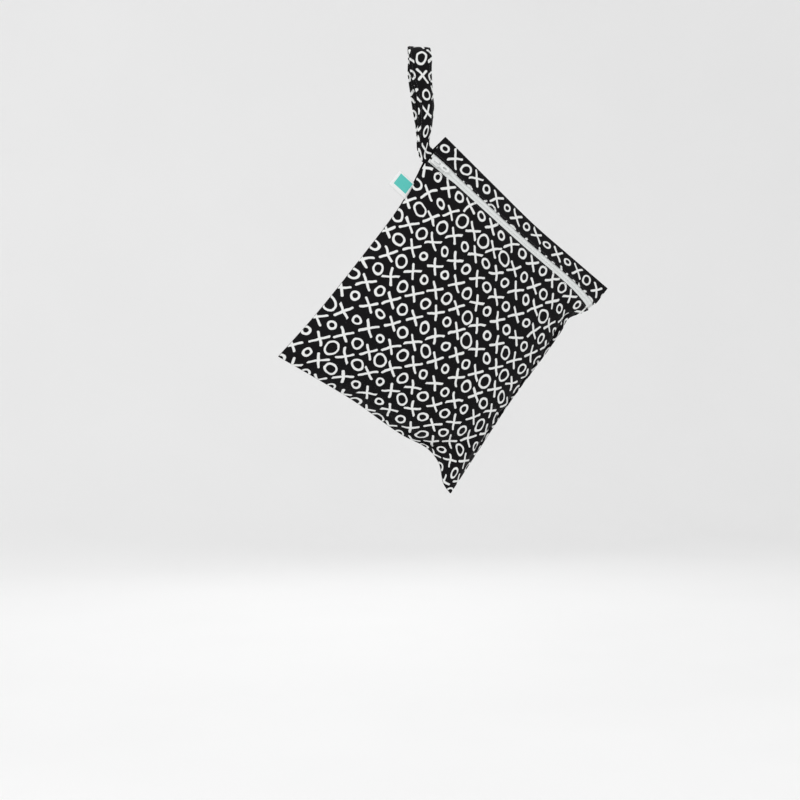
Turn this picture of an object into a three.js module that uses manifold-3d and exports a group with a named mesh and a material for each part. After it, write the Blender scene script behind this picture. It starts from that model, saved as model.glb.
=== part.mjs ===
// A zipped waterproof cloth bag, filled and hanging by the strap at one end of its zip.
// Millimetres and degrees. +X runs right, +Y away from the front and +Z up, and the origin is the
// inside top of the strap's loop, where it rests on whatever carries the bag.
import * as THREE from "three";
import Module from "manifold-3d";

// Cloth body, measured flat as it is cut
const BAG_WIDTH = 305;
const BAG_HEIGHT = 356;
const CLOTH = 1.2;
const CLEAR = 0.3;
const SEAM_ROOM = 0.2;

// How the filled bag hangs: slope of its zip edge, place of its folded top corner, and depth of fill
const HANG_TILT = 39.5;
const TOP_CORNER = { x: 41, z: -112 };
const FRONT_SWELL = 42;
const BACK_SWELL = 34;

// Zip across the front, below the folded top edge
const ZIP_DROP = 34;
const ZIP_SHOW = 11;
const ZIP_SHOW_AT_SLIDER = 13.6;
const SHOW_NARROWS = { from: 30, to: 46 };
const TAPE_WIDTH = 13;
const TAPE = 1;
const TAPE_SLIT = 0.6;
const TAPE_SLIT_AT_SLIDER = 3.2;
const SLIT_CLOSES = { from: 20, to: 30 };
const TAPE_FROM = 1.5;
const TAPE_TO = 301;
const COIL_RADIUS = 1.1;
const COIL_FROM = 21;
const COIL_TO = 294;

// Slider and its pull
const SLIDER_AT = 10;
const SLIDER_LONG = 13;
const SLIDER_WIDE = 9.6;
const SLIDER_PLATE = 1.6;
const SLIDER_CLEAR = 0.55;
const NECK_LONG = 3.4;
const NECK_WIDE = 2.2;
const BRIDGE_LONG = 8;
const BRIDGE_WIDE = 2.4;
const BRIDGE_HIGH = 3.2;
const BRIDGE_BAR = 1;
const BRIDGE_CHAMFER = 0.8;
const PLATE_CORNER = 2.6;
const NECK_CORNER = 0.6;
const HOLE_CORNER = 0.8;
const JOIN_OVERLAP = 0.2;
const PULL_THICK = 1.3;
const PULL_LONG = 20;
const PULL_WIDE = 7;
const PULL_NECK = 5.4;
const PULL_WINDOW = { from: 0.65, to: 6.2, wide: 3.6 };
const PULL_HOLE = { from: 11, to: 16.5, wide: 2.4 };

// Hanging strap, a flat cloth band whose two runs meet in the side seam at the zip's end
const STRAP = 1.8;
const STRAP_SEAM_AT = 33;
const STRAP_SEAM_LONG = 20;
const STRAP_TUCK = 2.5;
const CARRIER_RADIUS = 16;

// Folded label in the same side seam
const LABEL_AT = 84;
const LABEL_WIDE = 24;
const LABEL_OUT = 27.5;
const LABEL_TUCK = 2.5;
const LABEL_LAYER = 1;
const LABEL_GAP = 0.5;

// How far the fill draws each edge in from the flat rectangle. The strap draws its own seam out.
const LEFT_PULL = [
  { v: 0, pull: 0 },
  { v: 34, pull: -2.5 },
  { v: 60, pull: 1.4 },
  { v: 90, pull: 6.5 },
  { v: 205, pull: 8 },
  { v: 290, pull: 5.5 },
  { v: 356, pull: 0 },
];
const RIGHT_PULL = [
  { v: 0, pull: 0 },
  { v: 34, pull: 3 },
  { v: 48, pull: 9.5 },
  { v: 66, pull: 20 },
  { v: 84, pull: 17.8 },
  { v: 110, pull: 16.8 },
  { v: 200, pull: 17.2 },
  { v: 280, pull: 13 },
  { v: 356, pull: 9 },
];
const TOP_DIP = [
  { u: 0, pull: 0 },
  { u: 90, pull: 3 },
  { u: 170, pull: 5 },
  { u: 230, pull: 3 },
  { u: 305, pull: 0 },
];
const BOTTOM_LIFT = [
  { u: 0, pull: 0 },
  { u: 50, pull: 9 },
  { u: 110, pull: 19 },
  { u: 195, pull: 27 },
  { u: 236, pull: 35 },
  { u: 262, pull: 30 },
  { u: 286, pull: 14 },
  { u: 305, pull: 10 },
];

// How far the forward slope of the top strip lifts the zip's line in the bag's plane
const ZIP_RISE = [
  { u: 0, rise: 0 },
  { u: 90, rise: 1 },
  { u: 200, rise: 3.2 },
  { u: 260, rise: 3.6 },
  { u: 290, rise: 1.4 },
  { u: 305, rise: 0 },
];

// Share of the swell across the bag and down it, as fractions of the flat width and height
const FRONT_ACROSS = [
  { at: 0, share: 0 },
  { at: 0.05, share: 0.31 },
  { at: 0.1, share: 0.51 },
  { at: 0.18, share: 0.72 },
  { at: 0.3, share: 0.9 },
  { at: 0.45, share: 1 },
  { at: 0.62, share: 1 },
  { at: 0.76, share: 0.94 },
  { at: 0.87, share: 0.77 },
  { at: 0.95, share: 0.47 },
  { at: 1, share: 0 },
];
const FRONT_DOWN = [
  { at: 0, share: 0 },
  { at: 0.04, share: 0.14 },
  { at: 0.096, share: 0.33 },
  { at: 0.16, share: 0.51 },
  { at: 0.26, share: 0.73 },
  { at: 0.4, share: 0.92 },
  { at: 0.55, share: 1 },
  { at: 0.69, share: 0.98 },
  { at: 0.81, share: 0.87 },
  { at: 0.9, share: 0.64 },
  { at: 0.96, share: 0.35 },
  { at: 1, share: 0 },
];
const BACK_ACROSS = [
  { at: 0, share: 0 },
  { at: 0.06, share: 0.36 },
  { at: 0.14, share: 0.66 },
  { at: 0.3, share: 0.94 },
  { at: 0.5, share: 1 },
  { at: 0.72, share: 0.92 },
  { at: 0.86, share: 0.66 },
  { at: 0.94, share: 0.36 },
  { at: 1, share: 0 },
];
const BACK_DOWN = [
  { at: 0, share: 0 },
  { at: 0.06, share: 0.1 },
  { at: 0.16, share: 0.34 },
  { at: 0.3, share: 0.72 },
  { at: 0.48, share: 0.98 },
  { at: 0.64, share: 0.98 },
  { at: 0.8, share: 0.74 },
  { at: 0.91, share: 0.38 },
  { at: 1, share: 0 },
];

// How fast a drawn-in edge eases off into the cloth: softly at left and top, gathered close to the seam
// at right and bottom
const EASE_POWER = 3;
const GATHER_POWER = 8;

// Half the room that the side seams leave for what is sewn into them
const LEFT_ROOM = [
  { v: 0, room: 0 },
  { v: 10, room: 1.3 },
  { v: 21, room: 3.2 },
  { v: 47, room: 3.2 },
  { v: 62, room: 1.6 },
  { v: 97, room: 1.6 },
  { v: 110, room: 0.1 },
  { v: 356, room: 0 },
];
const RIGHT_ROOM = [
  { v: 0, room: 0 },
  { v: 10, room: 0.5 },
  { v: 24, room: 1.6 },
  { v: 46, room: 1.6 },
  { v: 60, room: 0.4 },
  { v: 74, room: 0 },
  { v: 356, room: 0 },
];
const ROOM_REACH = 40;
const SLOPE_STEP = 1.5;

// Puckers along the seams: where they run, how many waves, how high and how far in they stand highest
const PUCKERS = [
  { edge: "right", from: 48, to: 316, waves: 10, high: 2.6, crest: 13 },
  { edge: "bottom", from: 18, to: 288, waves: 9, high: 1.6, crest: 11 },
  { edge: "left", from: 104, to: 344, waves: 9, high: 1.2, crest: 9 },
];

// Long soft folds: a line from (u, v) to (toU, toV), half its width, and its depth
const FRONT_FOLDS = [
  { u: 298, v: 74, toU: 212, toV: 122, half: 13, deep: 6 },
  { u: 292, v: 104, toU: 236, toV: 178, half: 11, deep: 4 },
  { u: 228, v: 346, toU: 276, toV: 262, half: 12, deep: 11 },
  { u: 196, v: 350, toU: 214, toV: 306, half: 10, deep: 3.5 },
  { u: 16, v: 56, toU: 72, toV: 150, half: 14, deep: 3 },
  { u: 292, v: 66, toU: 293, toV: 338, half: 5, deep: 12 },
  { u: 268, v: 340, toU: 120, toV: 344, half: 7, deep: 7 },
];
const BACK_FOLDS = [
  { u: 14, v: 44, toU: 96, toV: 140, half: 15, deep: 4 },
  { u: 296, v: 84, toU: 214, toV: 140, half: 14, deep: 5 },
  { u: 230, v: 344, toU: 262, toV: 268, half: 13, deep: 6 },
];

// A fold starts at this share of its wave at the seam. Folds flatten where the swell is under 1 / LOOSE.
const FOLD_START = 0.22;
const LOOSE = 2.5;

// Centre line of the strap's front run from the top, the band's width, how far its edges curl back, and how
// far the back run hangs aside of it
const STRAP_RUN = [
  { z: -16, x: -0.3, y: -16.9, wide: 30, curl: 0, aside: 13 },
  { z: -30, x: 1, y: -15.6, wide: 28.5, curl: 1, aside: 10.2 },
  { z: -52, x: 7.7, y: -12.6, wide: 23, curl: 4, aside: 3.8 },
  { z: -75, x: 12.5, y: -9.2, wide: 21, curl: 4.4, aside: 0.2 },
  { z: -95, x: 12.7, y: -6.4, wide: 18.5, curl: 4.2, aside: 1.3 },
  { z: -112, x: 11.1, y: -4.2, wide: 17, curl: 3, aside: 2.2 },
  { z: -126, x: 11, y: -2.4, wide: 17, curl: 1.4, aside: 0 },
];
const STRAP_LEAD_OUT = 4;
const STRAP_TWIST = { from: 96, to: 134, share: 0.8 };
const STRAP_TURN_STEPS = 9;
const STRAP_STRAIGHT_TURN = 0.15;
const STRAP_STEPS_BETWEEN = 3;

// Mesh density
const FRONT_COLUMNS = 26;
const FRONT_ROWS = 38;
const BACK_COLUMNS = 24;
const BACK_ROWS = 28;
const STRIP_ROWS = 5;
const FOLD_ROWS = 4;
const ZIP_COLUMNS = 26;
const TAPE_CELLS = 3;
const STRAP_CELLS = 4;
const COIL_SIDES = 8;
const CROWDING = 0.7;
const ROW_CROWDING = 0.35;

const wasm = await Module();
wasm.setup();

const radians = THREE.MathUtils.degToRad;
const lerp = THREE.MathUtils.lerp;

// A smooth function through two columns of a table.
function curveOf(rows, key, value) {
  const keys = rows.map((row) => row[key]);
  const curve = new THREE.CubicInterpolant(keys, rows.map((row) => row[value]), 1);
  return (at) => curve.evaluate(THREE.MathUtils.clamp(at, keys[0], keys.at(-1)))[0];
}

const leftPull = curveOf(LEFT_PULL, "v", "pull");
const rightPull = curveOf(RIGHT_PULL, "v", "pull");
const topDip = curveOf(TOP_DIP, "u", "pull");
const bottomLift = curveOf(BOTTOM_LIFT, "u", "pull");
const zipRise = curveOf(ZIP_RISE, "u", "rise");
const leftRoom = curveOf(LEFT_ROOM, "v", "room");
const rightRoom = curveOf(RIGHT_ROOM, "v", "room");

const SIDES = {
  front: {
    facing: -1,
    swell: FRONT_SWELL,
    across: curveOf(FRONT_ACROSS, "at", "share"),
    down: curveOf(FRONT_DOWN, "at", "share"),
    folds: FRONT_FOLDS,
  },
  back: {
    facing: 1,
    swell: BACK_SWELL,
    across: curveOf(BACK_ACROSS, "at", "share"),
    down: curveOf(BACK_DOWN, "at", "share"),
    folds: BACK_FOLDS,
  },
};

// Where a point of the flat cut, u along the zip edge and v down the side, lies in the bag's own plane.
function inPlane(u, v) {
  const s = u / BAG_WIDTH;
  const t = v / BAG_HEIGHT;
  const x = u + leftPull(v) * (1 - s) ** EASE_POWER - rightPull(v) * s ** GATHER_POWER;
  const down = v + topDip(u) * (1 - t) ** EASE_POWER - bottomLift(u) * t ** GATHER_POWER;
  const rise = zipRise(u) * (v / ZIP_DROP) * Math.exp(1 - v / ZIP_DROP);
  return { x, z: rise - down };
}

// Half the room between the two walls, wider where the strap, the label and the zip's end are sewn in.
function seamRoom(u, v) {
  const fromLeft = Math.exp(-((u / ROOM_REACH) ** 2));
  const fromRight = Math.exp(-(((BAG_WIDTH - u) / ROOM_REACH) ** 2));
  return SEAM_ROOM + Math.max(0, leftRoom(v)) * fromLeft + Math.max(0, rightRoom(v)) * fromRight;
}

// Height of the puckers that stand along the seams.
function puckers(u, v) {
  const offEdge = { left: u, right: BAG_WIDTH - u, bottom: BAG_HEIGHT - v };
  const alongEdge = { left: v, right: v, bottom: u };
  return PUCKERS.reduce((sum, { edge, from, to, waves, high, crest }) => {
    const along = (alongEdge[edge] - from) / (to - from);
    if (along <= 0 || along >= 1) return sum;
    const off = offEdge[edge] / crest;
    const envelope = Math.sin(Math.PI * along) ** 0.5 * off * Math.exp(1 - off);
    return sum + high * envelope * Math.sin(2 * Math.PI * waves * along);
  }, 0);
}

// Depth of the long folds at a point, fading out towards both ends of each fold.
function foldDepth(folds, u, v) {
  const point = new THREE.Vector2(u, v);
  return folds.reduce((sum, fold) => {
    const start = new THREE.Vector2(fold.u, fold.v);
    const run = new THREE.Vector2(fold.toU, fold.toV).sub(start);
    const along = THREE.MathUtils.clamp(point.clone().sub(start).dot(run) / run.lengthSq(), 0, 1);
    const off = point.distanceTo(start.addScaledVector(run, along)) / fold.half;
    return sum + fold.deep * Math.sin(Math.PI * lerp(FOLD_START, 1, along)) * Math.exp(-off * off);
  }, 0);
}

// A point on the outside of a wall, in the bag's own frame.
function outside(sideName, u, v) {
  const side = SIDES[sideName];
  const share = side.across(u / BAG_WIDTH) * side.down(v / BAG_HEIGHT);
  const loose = Math.min(1, LOOSE * share);
  const swell = side.swell * share + (puckers(u, v) - foldDepth(side.folds, u, v)) * loose;
  const { x, z } = inPlane(u, v);
  return new THREE.Vector3(x, side.facing * (seamRoom(u, v) + CLOTH + Math.max(0, swell)), z);
}

// The outward direction of a wall at a point.
function outward(sideName, u, v) {
  const u0 = Math.max(0, u - SLOPE_STEP);
  const u1 = Math.min(BAG_WIDTH, u + SLOPE_STEP);
  const v0 = Math.max(0, v - SLOPE_STEP);
  const v1 = Math.min(BAG_HEIGHT, v + SLOPE_STEP);
  const alongU = outside(sideName, u1, v).sub(outside(sideName, u0, v));
  const alongV = outside(sideName, u, v1).sub(outside(sideName, u, v0));
  return alongU.cross(alongV).normalize().multiplyScalar(SIDES[sideName].facing);
}

// A point that lies a given depth inside the outer face of a wall.
function inside(sideName, u, v, depth) {
  return outside(sideName, u, v).addScaledVector(outward(sideName, u, v), -depth);
}

// A closed wall between two grids of points: outer(i, j) and inner(i, j), i in 0..rows and j in 0..columns.
// Seen from its outer side, j runs to the right and i runs down.
function wallBetween(rows, columns, outer, inner) {
  const points = [];
  const faces = [];
  for (const grid of [outer, inner])
    for (let i = 0; i <= rows; i++)
      for (let j = 0; j <= columns; j++) points.push(...grid(i, j).toArray());
  const width = columns + 1;
  const innerStart = (rows + 1) * width;
  const quad = (a, b, c, d) => faces.push(a, b, c, a, c, d);
  for (let i = 0; i < rows; i++)
    for (let j = 0; j < columns; j++) {
      const a = i * width + j;
      quad(a, a + width, a + width + 1, a + 1);
      quad(innerStart + a, innerStart + a + 1, innerStart + a + width + 1, innerStart + a + width);
    }
  const rim = (a, b) => quad(a, b, innerStart + b, innerStart + a);
  for (let j = 0; j < columns; j++) {
    rim(j, j + 1);
    rim(rows * width + j + 1, rows * width + j);
  }
  for (let i = 0; i < rows; i++) {
    rim((i + 1) * width, i * width);
    rim(i * width + columns, (i + 1) * width + columns);
  }
  return new THREE.BufferGeometry()
    .setAttribute("position", new THREE.Float32BufferAttribute(points, 3))
    .setIndex(faces);
}

// Stations from 0 to 1 that crowd towards both ends, where a filled wall bends most.
function crowded(index, count, crowding = CROWDING) {
  const even = index / count;
  return lerp(even, (1 - Math.cos(Math.PI * even)) / 2, crowding);
}

// Half the height of the band that shows between the two cloth edges beside the zip.
function zipHalfShow(u) {
  const nearSlider = 1 - THREE.MathUtils.smoothstep(u, SHOW_NARROWS.from, SHOW_NARROWS.to);
  return lerp(ZIP_SHOW, ZIP_SHOW_AT_SLIDER, nearSlider) / 2;
}

// Front wall, from the zip's lower edge to the bottom seam.
function frontPanel() {
  const place = (i, j) => {
    const u = BAG_WIDTH * crowded(j, FRONT_COLUMNS);
    const edge = ZIP_DROP + zipHalfShow(u);
    return [u, lerp(edge, BAG_HEIGHT, crowded(i, FRONT_ROWS, ROW_CROWDING))];
  };
  return wallBetween(
    FRONT_ROWS,
    FRONT_COLUMNS,
    (i, j) => outside("front", ...place(i, j)),
    (i, j) => inside("front", ...place(i, j), CLOTH),
  );
}

// Back wall in one piece with the strip that folds over the top edge and comes down to the zip.
// Its rows run up the strip, round the fold, and down the back.
function backPanel() {
  const strip = (u, share) => lerp(ZIP_DROP - zipHalfShow(u), 0, share);
  const foldAt = (u, turn, radius) => {
    const front = outside("front", u, 0);
    const back = outside("back", u, 0);
    const middle = front.clone().add(back).multiplyScalar(0.5);
    const shrink = radius / CLOTH;
    const reach = (back.y - front.y) / 2 - CLOTH + CLOTH * shrink;
    return middle.add(new THREE.Vector3(0, -reach * Math.cos(turn), reach * Math.sin(turn)));
  };
  const rows = STRIP_ROWS + FOLD_ROWS + BACK_ROWS;
  const point = (i, j, depth) => {
    const u = BAG_WIDTH * crowded(BACK_COLUMNS - j, BACK_COLUMNS);
    if (i < STRIP_ROWS) return inside("front", u, strip(u, i / STRIP_ROWS), depth);
    if (i <= STRIP_ROWS + FOLD_ROWS)
      return foldAt(u, (Math.PI * (i - STRIP_ROWS)) / FOLD_ROWS, CLOTH - depth);
    const v = BAG_HEIGHT * crowded(i - STRIP_ROWS - FOLD_ROWS, BACK_ROWS, ROW_CROWDING);
    return inside("back", u, v, depth);
  };
  return wallBetween(rows, BACK_COLUMNS, (i, j) => point(i, j, 0), (i, j) => point(i, j, CLOTH));
}

// Half the slit between the two tapes, parted at the slider.
function halfSlit(u) {
  const parted = 1 - THREE.MathUtils.smoothstep(u, SLIT_CLOSES.from, SLIT_CLOSES.to);
  return lerp(TAPE_SLIT, TAPE_SLIT_AT_SLIDER, parted) / 2;
}

// One woven tape of the zip, sewn to the inside of the cloth. way is -1 above the slit and +1 below it.
function zipTape(way) {
  const depth = CLOTH + CLEAR;
  const place = (i, j) => {
    const u = lerp(TAPE_FROM, TAPE_TO, crowded(j, ZIP_COLUMNS));
    const near = ZIP_DROP + way * halfSlit(u);
    const far = ZIP_DROP + way * TAPE_WIDTH;
    const share = i / TAPE_CELLS;
    return [u, way > 0 ? lerp(near, far, share) : lerp(far, near, share)];
  };
  return wallBetween(
    TAPE_CELLS,
    ZIP_COLUMNS,
    (i, j) => inside("front", ...place(i, j), depth),
    (i, j) => inside("front", ...place(i, j), depth + TAPE),
  );
}

// The closed coil, a plain rib behind the slit.
function zipCoil() {
  const depth = CLOTH + CLEAR + TAPE + CLEAR + COIL_RADIUS;
  const points = [];
  for (let j = 0; j <= ZIP_COLUMNS; j++) {
    points.push(inside("front", lerp(COIL_FROM, COIL_TO, j / ZIP_COLUMNS), ZIP_DROP, depth));
  }
  const section = new THREE.Shape().absarc(0, 0, COIL_RADIUS, 0, 2 * Math.PI);
  return new THREE.ExtrudeGeometry(section, {
    curveSegments: COIL_SIDES,
    steps: ZIP_COLUMNS,
    bevelEnabled: false,
    extrudePath: new THREE.CatmullRomCurve3(points),
  });
}

// A closed geometry as a solid, and back again.
function solidOf(geometry) {
  const corners = geometry.index ? geometry.toNonIndexed() : geometry;
  const at = corners.getAttribute("position");
  const seen = new Map();
  const points = [];
  const faces = [];
  for (let i = 0; i < at.count; i++) {
    const place = [at.getX(i), at.getY(i), at.getZ(i)];
    const key = place.map((value) => value.toFixed(4)).join(" ");
    if (!seen.has(key)) {
      seen.set(key, seen.size);
      points.push(...place);
    }
    faces.push(seen.get(key));
  }
  const mesh = new wasm.Mesh({
    numProp: 3,
    vertProperties: new Float32Array(points),
    triVerts: new Uint32Array(faces),
  });
  return new wasm.Manifold(mesh);
}

function geometryOf(solid) {
  const { vertProperties, triVerts } = solid.getMesh();
  return new THREE.BufferGeometry()
    .setAttribute("position", new THREE.BufferAttribute(vertProperties, 3))
    .setIndex(new THREE.BufferAttribute(triVerts, 1));
}

// A rectangle with rounded corners, centred on (x, y).
function roundedRectangle(x, y, long, wide, corner) {
  const shape = new THREE.Shape();
  const left = x - long / 2 + corner;
  const right = x + long / 2 - corner;
  const low = y - wide / 2 + corner;
  const high = y + wide / 2 - corner;
  shape.absarc(right, high, corner, 0, Math.PI / 2);
  shape.absarc(left, high, corner, Math.PI / 2, Math.PI);
  shape.absarc(left, low, corner, Math.PI, 1.5 * Math.PI);
  shape.absarc(right, low, corner, 1.5 * Math.PI, 2 * Math.PI);
  return shape;
}

function plate(shape, low, thick) {
  const options = { depth: thick, bevelEnabled: false, curveSegments: 4 };
  return new THREE.ExtrudeGeometry(shape, options).translate(0, 0, low);
}

// The slider: an outer and an inner plate joined by a neck through the slit, with a bridge for the pull.
// Its frame has X along the zip, Y across it and Z out of the bag, and the outer plate's foot at z = 0.
function zipSlider() {
  const innerTop = -(SLIDER_CLEAR + TAPE + SLIDER_CLEAR);
  const body = roundedRectangle(0, 0, SLIDER_LONG, SLIDER_WIDE, PLATE_CORNER);
  const neck = roundedRectangle(0, 0, NECK_LONG, NECK_WIDE, NECK_CORNER);
  const post = new THREE.Shape();
  const half = BRIDGE_LONG / 2;
  post.moveTo(-half, 0);
  post.lineTo(-half + BRIDGE_BAR, 0);
  post.lineTo(-half + BRIDGE_BAR, BRIDGE_HIGH - BRIDGE_BAR);
  post.lineTo(half - BRIDGE_BAR, BRIDGE_HIGH - BRIDGE_BAR);
  post.lineTo(half - BRIDGE_BAR, 0);
  post.lineTo(half, 0);
  post.lineTo(half, BRIDGE_HIGH - BRIDGE_CHAMFER);
  post.lineTo(half - BRIDGE_CHAMFER, BRIDGE_HIGH);
  post.lineTo(-half + BRIDGE_CHAMFER, BRIDGE_HIGH);
  post.lineTo(-half, BRIDGE_HIGH - BRIDGE_CHAMFER);
  post.closePath();
  const bridge = plate(post, -BRIDGE_WIDE / 2, BRIDGE_WIDE)
    .rotateX(Math.PI / 2)
    .translate(0, 0, SLIDER_PLATE - JOIN_OVERLAP);
  const neckLow = innerTop - JOIN_OVERLAP;
  const pieces = [
    plate(body, 0, SLIDER_PLATE),
    plate(neck, neckLow, JOIN_OVERLAP - neckLow),
    plate(body, innerTop - SLIDER_PLATE, SLIDER_PLATE),
    bridge,
  ];
  return geometryOf(pieces.map(solidOf).reduce((joined, piece) => joined.add(piece)));
}

// The pull: a flat tab whose end bar lies under the slider's bridge, at the frame's origin.
function zipPull() {
  const shape = new THREE.Shape();
  const halfNeck = PULL_NECK / 2;
  const halfWide = PULL_WIDE / 2;
  shape.moveTo(-PULL_THICK / 2, -halfNeck);
  shape.lineTo(PULL_WINDOW.to + 1, -halfNeck);
  shape.lineTo(PULL_HOLE.from - 1, -halfWide);
  shape.absarc(PULL_LONG - halfWide, 0, halfWide, -Math.PI / 2, Math.PI / 2);
  shape.lineTo(PULL_HOLE.from - 1, halfWide);
  shape.lineTo(PULL_WINDOW.to + 1, halfNeck);
  shape.lineTo(-PULL_THICK / 2, halfNeck);
  shape.closePath();
  for (const { from, to, wide } of [PULL_WINDOW, PULL_HOLE]) {
    shape.holes.push(roundedRectangle((from + to) / 2, 0, to - from, wide, HOLE_CORNER));
  }
  return plate(shape, -PULL_THICK / 2, PULL_THICK);
}

// The label: one strip of tape folded over, with both ends in the side seam.
function sideLabel() {
  const seam = inPlane(0, LABEL_AT).x;
  const fold = seam - LABEL_OUT;
  const inner = LABEL_GAP / 2;
  const outer = inner + LABEL_LAYER;
  const end = seam + LABEL_TUCK;
  const shape = new THREE.Shape();
  shape.moveTo(end, outer);
  shape.absarc(fold + outer, 0, outer, Math.PI / 2, 1.5 * Math.PI);
  shape.lineTo(end, -outer);
  shape.lineTo(end, -inner);
  shape.absarc(fold + outer, 0, inner, 1.5 * Math.PI, Math.PI / 2, true);
  shape.lineTo(end, inner);
  shape.closePath();
  return plate(shape, 0, LABEL_WIDE).translate(0, 0, -LABEL_AT - LABEL_WIDE / 2);
}

// Stations down the strap's front run, from the carrier to its sewn end, each with the band's place,
// its direction across, its width, its curl and how far the back run hangs aside.
function strapRun(bag) {
  const columns = Object.fromEntries(
    ["x", "y", "wide", "curl", "aside"].map((name) => [name, curveOf([...STRAP_RUN].reverse(), "z", name)]),
  );
  const level = new THREE.Vector3(1, 0, 0);
  const seamWay = new THREE.Vector3(0, 0, 1).applyQuaternion(bag.quaternion);
  const stations = [];
  for (let k = 0; k + 1 < STRAP_RUN.length; k++)
    for (let step = 0; step < STRAP_STEPS_BETWEEN; step++) {
      const z = lerp(STRAP_RUN[k].z, STRAP_RUN[k + 1].z, step / STRAP_STEPS_BETWEEN);
      const turn = STRAP_TWIST.share * THREE.MathUtils.smoothstep(-z, STRAP_TWIST.from, STRAP_TWIST.to);
      stations.push({
        at: new THREE.Vector3(columns.x(z), columns.y(z), z),
        across: level.clone().lerp(seamWay, turn).normalize(),
        wide: columns.wide(z),
        curl: columns.curl(z),
        aside: columns.aside(z),
      });
    }
  const endY = -(STRAP / 2 + CLEAR / 2);
  for (const along of [-STRAP_LEAD_OUT, 0, STRAP_TUCK]) {
    const seam = inPlane(0, STRAP_SEAM_AT);
    const at = new THREE.Vector3(seam.x + along, endY, seam.z);
    stations.push({ at: bag.localToWorld(at), across: seamWay, wide: STRAP_SEAM_LONG, curl: 0, aside: 0 });
  }
  return stations;
}

// The strap: up the front run, over the carrier and down the back run to the same seam. The edges of both
// runs curl to the back, one inside the other.
function hangStrap(bag) {
  const front = strapRun(bag).reverse();
  const back = front.toReversed().map((station) => {
    const at = station.at.clone();
    at.x += station.aside;
    at.y = -at.y;
    return { ...station, at, curl: -station.curl };
  });
  const radius = CARRIER_RADIUS + STRAP / 2;
  const over = [];
  for (let step = 1; step < STRAP_TURN_STEPS; step++) {
    const turn = (Math.PI * step) / STRAP_TURN_STEPS;
    const skew = THREE.MathUtils.smoothstep(step / STRAP_TURN_STEPS, STRAP_STRAIGHT_TURN, 1);
    const x = STRAP_RUN[0].x + STRAP_RUN[0].aside * skew;
    over.push({
      at: new THREE.Vector3(x, -radius * Math.cos(turn), radius * Math.sin(turn) - CARRIER_RADIUS),
      across: new THREE.Vector3(1, 0, 0),
      wide: STRAP_RUN[0].wide,
      curl: 0,
    });
  }
  const stations = [...front, ...over, ...back];
  const point = (i, j, side) => {
    const { at, across, wide, curl } = stations[i];
    const before = stations[Math.max(0, i - 1)].at;
    const after = stations[Math.min(stations.length - 1, i + 1)].at;
    const out = after.clone().sub(before).cross(across).normalize().negate();
    const share = (2 * j) / STRAP_CELLS - 1;
    const lift = (side * STRAP) / 2 - curl * share * share;
    return at.clone().addScaledVector(across, (wide / 2) * share).addScaledVector(out, lift);
  };
  const rows = stations.length - 1;
  return wallBetween(rows, STRAP_CELLS, (i, j) => point(rows - i, j, 1), (i, j) => point(rows - i, j, -1));
}

// Finishes
const printedCloth = { color: 0x17171a, roughness: 0.55, metalness: 0 };
const wovenTape = { color: 0xd9dddb, roughness: 0.75, metalness: 0 };
const whiteEnamel = { color: 0xe6e8e6, roughness: 0.35, metalness: 0.1 };
const labelSatin = { color: 0xf1f2f0, roughness: 0.5, metalness: 0 };

function piece(name, geometry, finish) {
  const mesh = new THREE.Mesh(geometry, new THREE.MeshStandardMaterial(finish));
  mesh.name = name;
  return mesh;
}

// The bag hangs turned in its own plane about its folded top corner.
const bag = new THREE.Group();
bag.position.set(TOP_CORNER.x, 0, TOP_CORNER.z);
bag.rotation.y = radians(HANG_TILT);
bag.updateMatrixWorld(true);
bag.add(
  piece("front_panel", frontPanel(), printedCloth),
  piece("back_panel", backPanel(), printedCloth),
  piece("zip_tape_upper", zipTape(-1), wovenTape),
  piece("zip_tape_lower", zipTape(1), wovenTape),
  piece("zip_coil", zipCoil(), wovenTape),
  piece("side_label", sideLabel(), labelSatin),
);

// The slider sits on the tapes near the strap, with its pull lying along the closed zip.
const slider = new THREE.Group();
const sliderOut = outward("front", SLIDER_AT, ZIP_DROP);
const zipAlong = inside("front", SLIDER_AT + 1, ZIP_DROP, 0);
zipAlong.sub(inside("front", SLIDER_AT - 1, ZIP_DROP, 0));
const zipAcross = sliderOut.clone().cross(zipAlong).normalize();
zipAlong.copy(zipAcross).cross(sliderOut);
slider.quaternion.setFromRotationMatrix(new THREE.Matrix4().makeBasis(zipAlong, zipAcross, sliderOut));
slider.position.copy(inside("front", SLIDER_AT, ZIP_DROP, CLOTH + CLEAR - SLIDER_CLEAR));
const pull = piece("zip_pull", zipPull(), whiteEnamel);
pull.position.z = SLIDER_PLATE + (BRIDGE_HIGH - BRIDGE_BAR - JOIN_OVERLAP) / 2;
slider.add(piece("zip_slider", zipSlider(), whiteEnamel), pull);
bag.add(slider);

const wetBag = new THREE.Group();
wetBag.add(bag, piece("hang_strap", hangStrap(bag), printedCloth));

export default wetBag;
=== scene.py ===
"""Looks of a waterproof cloth bag that hangs, filled, by a strap at one end of its zip.

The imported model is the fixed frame. The cloth is drawn from its flat cut with the same short tables as the
solids, settled by a cloth simulation, hemmed and printed. The zip, strap, label and stitches follow it.
"""

import logging
import math
from dataclasses import dataclass, field
from enum import Enum
from typing import Any, Iterable, Sequence

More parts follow.
